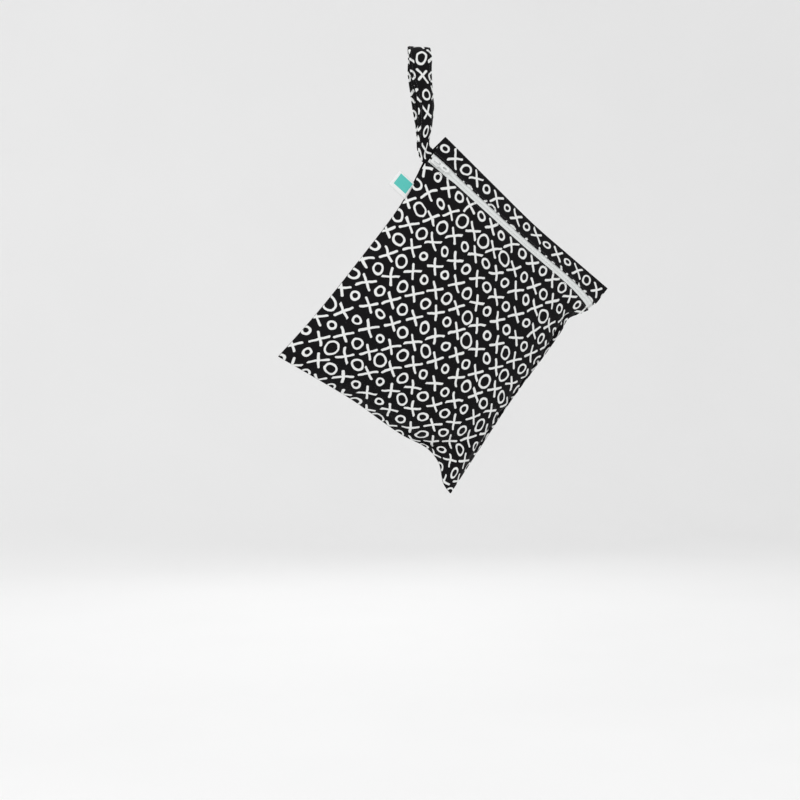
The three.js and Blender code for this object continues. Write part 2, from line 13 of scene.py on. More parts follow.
import bmesh
import bpy
import numpy as np
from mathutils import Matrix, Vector


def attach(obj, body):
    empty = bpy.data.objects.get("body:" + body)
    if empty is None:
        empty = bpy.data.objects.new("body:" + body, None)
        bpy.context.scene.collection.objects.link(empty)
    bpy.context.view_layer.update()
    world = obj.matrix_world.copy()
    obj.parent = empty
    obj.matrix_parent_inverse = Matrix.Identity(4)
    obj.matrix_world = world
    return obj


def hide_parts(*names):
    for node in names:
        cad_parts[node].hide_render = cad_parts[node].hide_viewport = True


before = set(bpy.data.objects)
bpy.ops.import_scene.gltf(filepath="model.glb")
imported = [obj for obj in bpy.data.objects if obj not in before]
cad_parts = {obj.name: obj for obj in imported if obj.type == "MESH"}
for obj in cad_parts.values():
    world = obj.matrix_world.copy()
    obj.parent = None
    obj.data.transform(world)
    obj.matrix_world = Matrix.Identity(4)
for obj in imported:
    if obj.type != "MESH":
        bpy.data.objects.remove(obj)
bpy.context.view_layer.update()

Array = np.ndarray
Finish = bpy.types.Material
Piece = bpy.types.Object
Socket = bpy.types.NodeSocket
Colour = tuple[float, float, float, float]
Place = tuple[float, float, float]
MM = 0.001
LOG = logging.getLogger("bag")


class Body(Enum):
    """The rigid bodies that pieces ride on."""

    BAG = "bag"
    PULL = "pull"


class Side(Enum):
    """The two walls, with the way each one faces along Y."""

    FRONT = -1
    BACK = 1


class Edge(Enum):
    """The seams of a wall that puckers can stand along."""

    LEFT = "left"
    RIGHT = "right"
    BOTTOM = "bottom"


def smoothstep(at: Array, low: float, high: float) -> Array:
    """Rises smoothly from 0 at low to 1 at high.

    Args:
        at: Where to read the ramp.
        low: Start of the ramp.
        high: End of the ramp.

    Returns:
        The ramp's height at each place.
    """
    share = np.clip((np.asarray(at, float) - low) / (high - low), 0, 1)
    return share * share * (3 - 2 * share)


def mix(low: Array, high: Array, share: Array) -> Array:
    """Blends from low to high by share."""
    return low + (high - low) * share


def unit(vectors: Array) -> Array:
    """Scales vectors in the last axis to length 1."""
    return vectors / np.maximum(np.linalg.norm(vectors, axis=-1, keepdims=True), 1e-12)


@dataclass(frozen=True)
class SmoothTable:
    """A smooth function through the rows of a short table of (place, value)."""

    rows: tuple[tuple[float, float], ...]

    def __call__(self, at: Array) -> Array:
        """Reads the table.

        Args:
            at: Places, of any shape.

        Returns:
            The values there, held level beyond both ends.
        """
        keys, values = (np.array(column, float) for column in zip(*self.rows))
        at = np.clip(at, keys[0], keys[-1])
        right = np.clip(np.searchsorted(keys, at, side="right"), 1, len(keys) - 1)
        left = right - 1
        before = np.where(left > 0, left - 1, right)
        after = np.where(right + 1 < len(keys), np.minimum(right + 1, len(keys) - 1), left)
        half = (keys[right] - keys[left]) / 2
        pull_before = half / (keys[left] - keys[before])
        pull_after = half / (keys[after] - keys[right])
        p = (at - keys[left]) / (keys[right] - keys[left])
        return (
            values[before] * (-pull_before * p**3 + 2 * pull_before * p**2 - pull_before * p)
            + values[left] * ((1 + pull_before) * p**3 - (1.5 + 2 * pull_before) * p**2 + (pull_before - 0.5) * p + 1)
            + values[right] * (-(1 + pull_after) * p**3 + (1.5 + pull_after) * p**2 + 0.5 * p)
            + values[after] * (pull_after * p**3 - pull_after * p**2)
        )


@dataclass(frozen=True)
class Fold:
    """A long soft fold from (u, v) to (to_u, to_v), with half its width and its depth, in mm."""

    u: float
    v: float
    to_u: float
    to_v: float
    half: float
    deep: float


@dataclass(frozen=True)
class Pucker:
    """Waves along a seam: where they run, how many, how high, and how far in they stand highest."""

    edge: Edge
    start: float
    end: float
    waves: float
    high: float
    crest: float


@dataclass(frozen=True)
class WallShape:
    """How one wall swells: its depth in mm, its share across and down, and its folds."""

    swell: float
    across: SmoothTable
    down: SmoothTable
    folds: tuple[Fold, ...]


FRONT_WALL = WallShape(
    swell=42,
    across=SmoothTable(
        ((0, 0), (0.05, 0.31), (0.1, 0.51), (0.18, 0.72), (0.3, 0.9), (0.45, 1), (0.62, 1), (0.76, 0.94),
         (0.87, 0.77), (0.95, 0.47), (1, 0))
    ),
    down=SmoothTable(
        ((0, 0), (0.04, 0.14), (0.096, 0.33), (0.16, 0.51), (0.26, 0.73), (0.4, 0.92), (0.55, 1), (0.69, 0.98),
         (0.81, 0.87), (0.9, 0.64), (0.96, 0.35), (1, 0))
    ),
    folds=(
        Fold(298, 74, 212, 122, 13, 6),
        Fold(292, 104, 236, 178, 11, 4),
        Fold(228, 346, 276, 262, 12, 11),
        Fold(196, 350, 214, 306, 10, 3.5),
        Fold(16, 56, 72, 150, 14, 3),
        Fold(292, 66, 293, 338, 5, 12),
        Fold(268, 340, 120, 344, 7, 7),
    ),
)
BACK_WALL = WallShape(
    swell=34,
    across=SmoothTable(
        ((0, 0), (0.06, 0.36), (0.14, 0.66), (0.3, 0.94), (0.5, 1), (0.72, 0.92), (0.86, 0.66), (0.94, 0.36), (1, 0))
    ),
    down=SmoothTable(
        ((0, 0), (0.06, 0.1), (0.16, 0.34), (0.3, 0.72), (0.48, 0.98), (0.64, 0.98), (0.8, 0.74), (0.91, 0.38), (1, 0))
    ),
    folds=(
        Fold(14, 44, 96, 140, 15, 4),
        Fold(296, 84, 214, 140, 14, 5),
        Fold(230, 344, 262, 268, 13, 6),
    ),
)


@dataclass(frozen=True)
class FilledForm:
    """The filled bag's form over its flat cut: u runs along the zip edge and v down the side, in mm."""

    width: float = 305
    height: float = 356
    cloth: float = 1.2
    seam_room: float = 0.2
    room_reach: float = 40
    tilt: float = 39.5
    corner: Place = (41, 0, -112)
    zip_drop: float = 34
    fold_start: float = 0.22
    loose: float = 2.5
    slope_step: float = 1.5
    ease: int = 3
    gather: int = 8
    left_pull: SmoothTable = SmoothTable(((0, 0), (34, -2.5), (60, 1.4), (90, 6.5), (205, 8), (290, 5.5), (356, 0)))
    right_pull: SmoothTable = SmoothTable(
        ((0, 0), (34, 3), (48, 9.5), (66, 20), (84, 17.8), (110, 16.8), (200, 17.2), (280, 13), (356, 9))
    )
    top_dip: SmoothTable = SmoothTable(((0, 0), (90, 3), (170, 5), (230, 3), (305, 0)))
    bottom_lift: SmoothTable = SmoothTable(
        ((0, 0), (50, 9), (110, 19), (195, 27), (236, 35), (262, 30), (286, 14), (305, 10))
    )
    zip_rise: SmoothTable = SmoothTable(((0, 0), (90, 1), (200, 3.2), (260, 3.6), (290, 1.4), (305, 0)))
    left_room: SmoothTable = SmoothTable(
        ((0, 0), (10, 1.3), (21, 3.2), (47, 3.2), (62, 1.6), (97, 1.6), (110, 0.1), (356, 0))
    )
    right_room: SmoothTable = SmoothTable(((0, 0), (10, 0.5), (24, 1.6), (46, 1.6), (60, 0.4), (74, 0), (356, 0)))
    puckers: tuple[Pucker, ...] = (
        Pucker(Edge.RIGHT, 48, 316, 10, 2.6, 13),
        Pucker(Edge.BOTTOM, 18, 288, 9, 1.6, 11),
        Pucker(Edge.LEFT, 104, 344, 9, 1.2, 9),
    )

    def wall(self, side: Side) -> WallShape:
        """The shape table of one wall."""
        return FRONT_WALL if side is Side.FRONT else BACK_WALL

    def room(self, u: Array, v: Array) -> Array:
        """Half the room between the walls, wider where something is sewn into a side seam."""
        from_left = np.exp(-((u / self.room_reach) ** 2))
        from_right = np.exp(-(((self.width - u) / self.room_reach) ** 2))
        wider = np.maximum(0, self.left_room(v)) * from_left + np.maximum(0, self.right_room(v)) * from_right
        return self.seam_room + wider

    def pucker_height(self, u: Array, v: Array) -> Array:
        """Height of the puckers that stand along the seams."""
        off = {Edge.LEFT: u, Edge.RIGHT: self.width - u, Edge.BOTTOM: self.height - v}
        along = {Edge.LEFT: v, Edge.RIGHT: v, Edge.BOTTOM: u}
        total = np.zeros(np.broadcast(u, v).shape)
        for row in self.puckers:
            share = np.clip((along[row.edge] - row.start) / (row.end - row.start), 0, 1)
            reach = off[row.edge] / row.crest
            envelope = np.sqrt(np.sin(np.pi * share)) * reach * np.exp(1 - reach)
            total = total + row.high * envelope * np.sin(2 * np.pi * row.waves * share)
        return total

    def fold_depth(self, side: Side, u: Array, v: Array) -> Array:
        """Depth of a wall's long folds, each fading out towards its ends."""
        total = np.zeros(np.broadcast(u, v).shape)
        for fold in self.wall(side).folds:
            run = np.array([fold.to_u - fold.u, fold.to_v - fold.v])
            share = np.clip(((u - fold.u) * run[0] + (v - fold.v) * run[1]) / (run @ run), 0, 1)
            off = np.hypot(u - fold.u - run[0] * share, v - fold.v - run[1] * share) / fold.half
            fade = np.sin(np.pi * mix(self.fold_start, 1, share))
            total = total + fold.deep * fade * np.exp(-off * off)
        return total

    def swell(self, side: Side, u: Array, v: Array) -> Array:
        """How far a wall stands out from the seams' plane."""
        wall = self.wall(side)
        share = wall.across(u / self.width) * wall.down(v / self.height)
        ripple = self.pucker_height(u, v) - self.fold_depth(side, u, v)
        return np.maximum(0, wall.swell * share + ripple * np.minimum(1, self.loose * share))

    def in_plane(self, u: Array, v: Array) -> tuple[Array, Array]:
        """Where a point of the cut lies in the bag's own plane, as (x, z)."""
        s, t = u / self.width, v / self.height
        x = u + self.left_pull(v) * (1 - s) ** self.ease - self.right_pull(v) * s**self.gather
        down = v + self.top_dip(u) * (1 - t) ** self.ease - self.bottom_lift(u) * t**self.gather
        rise = self.zip_rise(u) * (v / self.zip_drop) * np.exp(1 - v / self.zip_drop)
        return x, rise - down

    def outside(self, side: Side, u: Array, v: Array, seam: bool = True) -> Array:
        """Points on the outside of a wall, in the bag's own frame, in mm.

        Args:
            side: Which wall.
            u: Places along the zip edge.
            v: Places down the side.
            seam: Whether the thickness of cloth and seam is counted.

        Returns:
            Points in the last axis.
        """
        u, v = np.broadcast_arrays(np.asarray(u, float), np.asarray(v, float))
        x, z = self.in_plane(u, v)
        y = self.swell(side, u, v) + (self.room(u, v) + self.cloth if seam else 0)
        return np.stack([x, side.value * y, z], axis=-1)

    def to_world(self, points: Array) -> Array:
        """Turns and moves points in mm from the bag's frame to the row's frame in metres."""
        return (self.turned(points) + np.array(self.corner)) * MM

    def turn(self) -> Array:
        """The turn from the row's frame to the bag's frame, for directions in rows."""
        angle = math.radians(self.tilt)
        c, s = math.cos(angle), math.sin(angle)
        return np.array([[c, 0, s], [0, 1, 0], [-s, 0, c]])

    def turned(self, vectors: Array) -> Array:
        """Turns directions from the bag's frame to the row's frame."""
        return vectors @ self.turn().T

    def unturned(self, vectors: Array) -> Array:
        """Turns directions from the row's frame to the bag's frame."""
        return vectors @ self.turn()


def linked(name: str, data: bpy.types.ID) -> Piece:
    """A new object in the scene that shows a mesh, a light or a camera."""
    made = bpy.data.objects.new(name, data)
    bpy.context.scene.collection.objects.link(made)
    return made


def plain_object(
    name: str, points: Array, faces: Iterable[Sequence[int]], uv: Array | None = None
) -> Piece:
    """Makes a smooth mesh object at the origin.

    Args:
        name: The object's name.
        points: Corners in metres, one row each.
        faces: Corner numbers of each face.
        uv: Flat-cut place of each corner in metres, or None.

    Returns:
        The linked object.
    """
    mesh = bpy.data.meshes.new(name)
    mesh.from_pydata(points.tolist(), [], [list(map(int, face)) for face in faces])
    if uv is not None:
        layer = mesh.uv_layers.new(name="flat_cut")
        corners = np.empty(len(mesh.loops), np.int32)
        mesh.loops.foreach_get("vertex_index", corners)
        layer.data.foreach_set("uv", uv[corners].astype(np.float32).ravel())
    mesh.shade_smooth()
    return linked(name, mesh)


def grid_faces(numbers: Array) -> list[tuple[int, int, int, int]]:
    """Quads over a grid of corner numbers, wound so that rows run down and columns right as seen from outside."""
    quads = np.stack([numbers[:-1, :-1], numbers[1:, :-1], numbers[1:, 1:], numbers[:-1, 1:]], axis=-1)
    return [tuple(quad) for quad in quads.reshape(-1, 4)]


def thicken(piece: Piece, thick: float) -> None:
    """Gives a sheet its thickness in metres, inwards from the face that is drawn."""
    wall = piece.modifiers.new("thickness", "SOLIDIFY")
    wall.thickness = thick
    wall.offset = -1
    wall.use_rim = True


@dataclass
class SettledCloth:
    """The two walls after a short cloth simulation that starts from the drawn form.

    The cut stays flat and square in the simulation's rest shape, so slack cloth wrinkles by itself. Seams, zip
    and top strip are held. Only the shift from the drawn form is kept, capped in length.
    """

    form: FilledForm = field(default_factory=FilledForm)
    columns: int = 102
    rows: int = 118
    frames: int = 26
    cap: float = 7
    hold_below_zip: float = 26
    hold_past_zip: float = 8
    hold_at_top: float = 4
    seam_hold: float = 1
    seam_fade: float = 8
    pressure: float = 6
    pressure_factor: float = 1
    bending: float = 0.25
    gravity: float = 0.3
    shift: dict[Side, Array] = field(default_factory=dict)

    def grid(self) -> tuple[Array, Array]:
        """The flat places (u, v) of the simulation's corners."""
        u = np.linspace(0, self.form.width, self.columns + 1)
        v = np.linspace(0, self.form.height, self.rows + 1)
        u, v = np.meshgrid(u, v)
        return u, v

    def settle(self) -> None:
        u, v = self.grid()
        still = np.zeros(u.shape + (3,))
        self.shift = {Side.FRONT: still, Side.BACK: still.copy()}
        front = np.arange(u.size).reshape(u.shape)
        back = front.copy()
        back[1:-1, 1:-1] = u.size + np.arange((self.rows - 1) * (self.columns - 1)).reshape(self.rows - 1, -1)
        count = int(back.max()) + 1
        start = np.zeros((count, 3))
        flat = np.zeros((count, 3))
        held = np.zeros(count)
        for side, numbers in ((Side.BACK, back), (Side.FRONT, front)):
            start[numbers] = self.form.to_world(self.form.outside(side, u, v, seam=False))
            flat[numbers] = np.stack([u, np.zeros_like(u), -v], axis=-1) * MM
            held[numbers] = self.held(side, u, v)
        faces = grid_faces(front) + [face[::-1] for face in grid_faces(back)]
        sack = plain_object("settling_sack", start, faces)
        settled = self.simulate(sack, flat, held)
        bpy.data.objects.remove(sack)
        moved = self.form.unturned((settled - start) / MM)
        long = np.maximum(np.linalg.norm(moved, axis=1, keepdims=True), 1e-9)
        moved = moved * self.cap * np.tanh(long / self.cap) / long
        self.shift = {Side.FRONT: moved[front], Side.BACK: moved[back]}
        LOG.info("cloth settled: mean shift %.2f mm, most %.2f mm", long.mean(), long.max())

    def held(self, side: Side, u: Array, v: Array) -> Array:
        """How firmly each corner is held, from 0 to 1."""
        off = np.minimum(np.minimum(u, self.form.width - u), self.form.height - v)
        seam = np.where(off < self.seam_hold, 1.0, 0.0)
        low = self.form.zip_drop + self.hold_past_zip if side is Side.FRONT else self.hold_at_top
        strip = 1 - smoothstep(v, low, low + self.hold_below_zip)
        return np.maximum(seam, strip)

    def simulate(self, sack: Piece, flat: Array, held: Array) -> Array:
        """Steps the cloth simulation.

        Args:
            sack: The closed mesh in its drawn form.
            flat: The corners' places in the flat cut, in metres.
            held: How firmly each corner is held.

        Returns:
            The corners' places when settled.
        """
        sack.shape_key_add(name="drawn")
        cut = sack.shape_key_add(name="cut")
        cut.data.foreach_set("co", flat.astype(np.float32).ravel())
        group = sack.vertex_groups.new(name="held")
        for number in np.nonzero(held > 0.01)[0]:
            group.add([int(number)], float(held[number]), "REPLACE")
        solid = bmesh.new()
        solid.from_mesh(sack.data)
        volume = abs(solid.calc_volume())
        solid.free()
        cloth = sack.modifiers.new("settle", "CLOTH")
        how = cloth.settings
        how.quality = 7
        how.mass = 0.03
        how.air_damping = 2
        how.tension_stiffness = 25
        how.compression_stiffness = 25
        how.shear_stiffness = 8
        how.bending_stiffness = self.bending
        how.use_pressure = True
        how.uniform_pressure_force = self.pressure
        how.use_pressure_volume = True
        how.target_volume = volume
        how.pressure_factor = self.pressure_factor
        how.vertex_group_mass = "held"
        how.pin_stiffness = 1
        how.rest_shape_key = cut
        how.effector_weights.gravity = self.gravity
        cloth.collision_settings.use_collision = False
        cloth.collision_settings.use_self_collision = False
        cloth.point_cache.frame_start = 1
        cloth.point_cache.frame_end = self.frames
        scene = bpy.context.scene
        for step in range(1, self.frames + 1):
            scene.frame_set(step)
        result = sack.evaluated_get(bpy.context.evaluated_depsgraph_get())
        places = np.empty(len(held) * 3, np.float32)
        result.data.vertices.foreach_get("co", places)
        scene.frame_set(1)
        return places.reshape(-1, 3).astype(float)

    def shifted(self, side: Side, u: Array, v: Array) -> Array:
        """The settled shift at any place of a wall, smoothly between the simulation's corners."""
        shift = self.shift[side]
        total = np.zeros(u.shape + (3,))
        x = u / self.form.width * self.columns
        y = v / self.form.height * self.rows
        column, row = np.floor(x).astype(int), np.floor(y).astype(int)
        for i, wi in enumerate(self.spline(y - row)):
            for j, wj in enumerate(self.spline(x - column)):
                at_row = np.clip(row + i - 1, 0, self.rows)
                at_column = np.clip(column + j - 1, 0, self.columns)
                total += (wi * wj)[..., None] * shift[at_row, at_column]
        off = np.minimum(np.minimum(u, self.form.width - u), np.minimum(v, self.form.height - v))
        return total * smoothstep(off, 0, self.seam_fade)[..., None]

    @staticmethod
    def spline(p: Array) -> tuple[Array, Array, Array, Array]:
        """Weights of the four corners round a place in a smooth cubic."""
        return (1 - p) ** 3 / 6, (3 * p**3 - 6 * p**2 + 4) / 6, (3 * (p + p**2 - p**3) + 1) / 6, p**3 / 6

    def outside(self, side: Side, u: Array, v: Array) -> Array:
        """Settled points on the outside of a wall, in the bag's own frame, in mm."""
        u, v = np.broadcast_arrays(np.asarray(u, float), np.asarray(v, float))
        return self.form.outside(side, u, v) + self.shifted(side, u, v)

    def outward(self, side: Side, u: Array, v: Array) -> Array:
        """The outward direction of a settled wall, in the bag's own frame."""
        step = self.form.slope_step
        u, v = np.broadcast_arrays(np.asarray(u, float), np.asarray(v, float))
        along = self.outside(side, np.minimum(u + step, self.form.width), v) - self.outside(
            side, np.maximum(u - step, 0), v
        )
        down = self.outside(side, u, np.minimum(v + step, self.form.height)) - self.outside(
            side, u, np.maximum(v - step, 0)
        )
        return unit(np.cross(along, down)) * side.value

    def inside(self, side: Side, u: Array, v: Array, depth: float) -> Array:
        """Points a given depth inside the outer face of a settled wall."""
        return self.outside(side, u, v) - depth * self.outward(side, u, v)


class NodeTree:
    """Adds nodes to one tree, each with its settings and what feeds it."""

    def __init__(self, tree: bpy.types.NodeTree) -> None:
        """Takes the tree to build in."""
        self.tree = tree

    def add(self, kind: str, feeds: dict[Any, Any] | None = None, **settings: Any) -> bpy.types.Node:
        """Adds a node.

        Args:
            kind: Blender's name of the node's type.
            feeds: Input name or number to a socket, a value or a constant.
            **settings: The node's own properties.

        Returns:
            The node.
        """
        node = self.tree.nodes.new(kind)
        for key, value in settings.items():
            setattr(node, key, value)
        for key, value in (feeds or {}).items():
            self.feed(node.inputs[key], value)
        return node

    def feed(self, target: Socket, value: Any) -> None:
        """Links a socket or value to an input, or sets the input to a constant."""
        if isinstance(value, Value):
            value = value.socket
        if isinstance(value, Socket):
            self.tree.links.new(value, target)
        else:
            target.default_value = value


class Graph(NodeTree):
    """Builds the nodes of one material, a step at a time."""

    def __init__(self, name: str) -> None:
        """Starts an empty material."""
        self.material = bpy.data.materials.new(name)
        self.material.use_nodes = True
        super().__init__(self.material.node_tree)
        self.tree.nodes.clear()

    def math(self, operation: str, a: Any, b: Any = 0.0) -> "Value":
        """The result of one sum on one or two numbers."""
        return Value(self, self.add("ShaderNodeMath", {0: a, 1: b}, operation=operation).outputs[0])

    def vector(self, operation: str, a: Any, b: Any) -> Socket:
        """The result of one sum on two vectors."""
        return self.add("ShaderNodeVectorMath", {0: a, 1: b}, operation=operation).outputs[0]

    def scaled(self, vector: Socket, scale: float) -> Socket:
        """A vector times a number."""
        return self.add("ShaderNodeVectorMath", {0: vector, "Scale": scale}, operation="SCALE").outputs[0]

    def flat_place(self) -> Socket:
        """The place in the flat cut, in metres."""
        return self.add("ShaderNodeUVMap", uv_map="flat_cut").outputs["UV"]

    def object_place(self) -> Socket:
        """The place in the object's own frame, in metres."""
        return self.add("ShaderNodeTexCoord").outputs["Object"]

    def parts(self, vector: Socket) -> tuple["Value", ...]:
        """The three parts of a vector or colour."""
        return tuple(Value(self, part) for part in self.add("ShaderNodeSeparateXYZ", {0: vector}).outputs)

    def noise(self, place: Socket, scale: float, detail: float) -> "Value":
        """Smooth noise."""
        feeds = {"Vector": place, "Scale": scale, "Detail": detail}
        return Value(self, self.add("ShaderNodeTexNoise", feeds).outputs[0])

    def ramp(self, value: "Value", low: float, high: float, to_low: float = 0.0, to_high: float = 1.0) -> "Value":
        """A smooth ramp between two values."""
        feeds = {"Value": value, "From Min": low, "From Max": high, "To Min": to_low, "To Max": to_high}
        return Value(self, self.add("ShaderNodeMapRange", feeds, interpolation_type="SMOOTHSTEP").outputs[0])

    def blend(self, share: Any, low: Any, high: Any) -> Socket:
        """A mix of two colours."""
        return self.add("ShaderNodeMix", {"Factor": share, 6: low, 7: high}, data_type="RGBA").outputs[2]

    def bump(self, height: "Value", strength: float, distance: float, normal: Socket | None = None) -> Socket:
        """A surface direction bent by a height in metres."""
        feeds = {"Strength": strength, "Distance": distance, "Height": height}
        if normal is not None:
            feeds["Normal"] = normal
        return self.add("ShaderNodeBump", feeds).outputs[0]

    def finish(self, **feeds: Any) -> Finish:
        """Ends the material in one shader.

        Args:
            **feeds: The shader's inputs, with spaces as underscores.

        Returns:
            The material.
        """
        named = {name.replace("_", " "): value for name, value in feeds.items()}
        shader = self.add("ShaderNodeBsdfPrincipled", named)
        self.add("ShaderNodeOutputMaterial", {0: shader.outputs[0]})
        return self.material


@dataclass(frozen=True)
class Value:
    """A number in a material's nodes. Each sum on it adds a node."""

    graph: Graph
    socket: Socket

    def __add__(self, other: Any) -> "Value":
        """This plus another."""
        return self.graph.math("ADD", self, other)

    def __sub__(self, other: Any) -> "Value":
        """This less another."""
        return self.graph.math("SUBTRACT", self, other)

    def __mul__(self, other: Any) -> "Value":
        """This times another."""
        return self.graph.math("MULTIPLY", self, other)

    def __truediv__(self, other: Any) -> "Value":
        """This divided by another."""
        return self.graph.math("DIVIDE", self, other)

    def lifted(self) -> "Value":
        """A wave between -1 and 1, brought between 0 and 1."""
        return self * 0.5 + 0.5


@dataclass(frozen=True)
class PrintedCloth:
    """Black knit with a white brushed print of noughts and crosses, by a rule over the flat cut.

    Cells hold a cross or a ring in turn. Random numbers for each cell set its size, turn and place. The pitch of the
    cells and the knit are in metres, and the cells' height and other lengths are in pitches.
    """

    pitch: float = 0.0188
    height: float = 1.26
    stroke: float = 0.081
    ring_stroke: float = 0.92
    arms: tuple[float, float] = (0.53, 0.59)
    arm_turns: tuple[float, float] = (0.25, 0.74)
    jitter: float = 0.1
    drift: float = 0.16
    ragged: float = 0.03
    soft: float = 0.014
    seeds: tuple[float, float] = (3.7, 41.3)
    knit: float = 0.0009
    black: Colour = (0.0030, 0.0028, 0.0033, 1)
    charcoal: Colour = (0.0065, 0.0061, 0.0070, 1)
    white: Colour = (0.78, 0.79, 0.78, 1)

    def material(self) -> Finish:
        """Builds the finish."""
        g = Graph("printed_cloth")
        cut = g.flat_place()
        wander = g.add("ShaderNodeTexNoise", {"Vector": cut, "Scale": 80, "Detail": 1}).outputs[1]
        wander = g.vector("SUBTRACT", wander, (0.5, 0.5, 0.5))
        cells = g.vector("MULTIPLY", g.scaled(cut, 1 / self.pitch), (1, 1 / self.height, 1))
        x, y, _ = g.parts(g.vector("ADD", cells, g.scaled(wander, self.drift)))
        column, row = g.math("FLOOR", x), g.math("FLOOR", y)
        cell = g.add("ShaderNodeCombineXYZ", {0: column, 1: row}).outputs[0]
        chance, other = (self.chances(g, cell, seed) for seed in self.seeds)
        px = self.offset(x, column, chance[0])
        py = self.offset(y, row, chance[1]) * self.height
        cross, ring = self.marks(g, px, py, chance, other)
        distance = cross + g.math("FLOORED_MODULO", column + row, 2) * (ring - cross)
        distance = distance + (g.noise(cut, 900, 2) - 0.5) * self.ragged
        return self.dressed(g, cut, g.ramp(distance, self.soft, -self.soft))

    @staticmethod
    def chances(g: Graph, cell: Socket, seed: float) -> tuple[Value, ...]:
        """Three random numbers for each cell."""
        place = g.vector("ADD", cell, (seed, seed * 1.7, 0))
        return g.parts(g.add("ShaderNodeTexWhiteNoise", {"Vector": place}, noise_dimensions="2D").outputs["Color"])

    def offset(self, at: Value, floor: Value, chance: Value) -> Value:
        """The place in a cell from its mark's middle."""
        return (at - floor - 0.5) + (chance - 0.5) * self.jitter

    @staticmethod
    def turn(g: Graph, px: Value, py: Value, angle: Value) -> tuple[Value, Value]:
        """A place turned by an angle."""
        c, s = g.math("COSINE", angle), g.math("SINE", angle)
        return px * c + py * s, py * c - px * s

    def marks(
        self, g: Graph, px: Value, py: Value, chance: Sequence[Value], other: Sequence[Value]
    ) -> tuple[Value, Value]:
        """Distances to the edge of the cross and of the ring in a cell.

        Args:
            g: The material.
            px: Place across the cell from the mark's middle.
            py: Place down the cell from the mark's middle.
            chance: Three random numbers for the cell.
            other: Three more.

        Returns:
            Both distances, negative inside the stroke.
        """
        lean = (chance[2] - 0.5) * 0.42
        arms = []
        for arm, base, spare, size in zip(self.arms, self.arm_turns, other[::2], (other[1], chance[0])):
            angle = lean + base * math.pi + (spare - 0.5) * 0.22
            along, across = self.turn(g, px, py, angle)
            across = across + (size - 0.5) * 0.3 * (along * along)
            over = g.math("MAXIMUM", g.math("ABSOLUTE", along) - (size * 0.16 + (arm - 0.08)), 0)
            arms.append(g.math("SQRT", over * over + across * across) - self.stroke)
        cross = g.math("MINIMUM", *arms)
        along, across = self.turn(g, px, py, (chance[2] - 0.5) * 1.6 + 1.2)
        wide = other[0] * other[0] * 0.17 + 0.23
        tall = wide * (other[2] * 0.25 + 1.08)
        round_x, round_y = across / wide, along / tall
        off = g.math("ABSOLUTE", g.math("SQRT", round_x * round_x + round_y * round_y) - 1)
        return cross, off * ((wide + tall) * 0.5) - self.stroke * self.ring_stroke

    def dressed(self, g: Graph, cut: Socket, ink: Value) -> Finish:
        """Colours, knit and sheen round the print."""
        cloud = g.noise(cut, 60, 3)
        cover = ink * g.ramp(g.noise(cut, 420, 3), 0.15, 0.5, 0.86, 1.0)
        colour = g.blend(cover, g.blend(cloud, self.black, self.charcoal), self.white)
        x, y, _ = g.parts(g.scaled(cut, 2 * math.pi / self.knit))
        knit = (g.math("SINE", x + g.math("SINE", y)) * g.math("COSINE", y * 0.5)).lifted()
        crumple = g.bump(g.noise(cut, 150, 3), 0.22, 0.0035)
        return g.finish(
            Base_Color=colour, Roughness=ink * 0.08 + (cloud * 0.12 + 0.6),
            Normal=g.bump(knit, 0.35, 0.00012, crumple), Specular_IOR_Level=0.08, Sheen_Weight=0.01,
            Sheen_Roughness=0.45,
        )


@dataclass(frozen=True)
class WovenTape:
    """Pale ribbed zip tape. The flat place runs along the tape and out from the slit."""

    rib: float = 0.0011
    pale: Colour = (0.83, 0.85, 0.84, 1)
    shade: Colour = (0.7, 0.725, 0.715, 1)

    def material(self) -> Finish:
        """Builds the finish."""
        g = Graph("woven_tape")
        cut = g.flat_place()
        x, y, _ = g.parts(g.scaled(cut, 2 * math.pi / self.rib))
        rib = g.math("SINE", x + g.math("PINGPONG", y, 4.0)).lifted()
        colour = g.blend(rib * 0.55 + g.noise(cut, 130, 3) * 0.45, self.shade, self.pale)
        normal = g.bump(rib, 0.5, 0.00018)
        return g.finish(Base_Color=colour, Roughness=0.72, Normal=normal, Sheen_Weight=0.12, Specular_IOR_Level=0.3)


@dataclass(frozen=True)
class Enamel:
    """White enamel on small die-cast pieces, a little dull and uneven, greyer where it is thin."""

    name: str = "white_enamel"
    white: Colour = (0.76, 0.775, 0.77, 1)
    thin: Colour = (0.5, 0.51, 0.52, 1)

    def material(self) -> Finish:
        """Builds the finish."""
        g = Graph(self.name)
        place = g.object_place()
        flow = g.noise(place, 320, 3)
        worn = g.ramp(flow, 0.55, 0.75) * g.ramp(g.noise(place, 1900, 2), 0.45, 0.7)
        return g.finish(
            Base_Color=g.blend(worn * 0.55, self.white, self.thin), Roughness=flow * 0.2 + 0.22,
            Normal=g.bump(flow, 0.25, 0.0002), Coat_Weight=0.25, Coat_Roughness=0.15,
        )


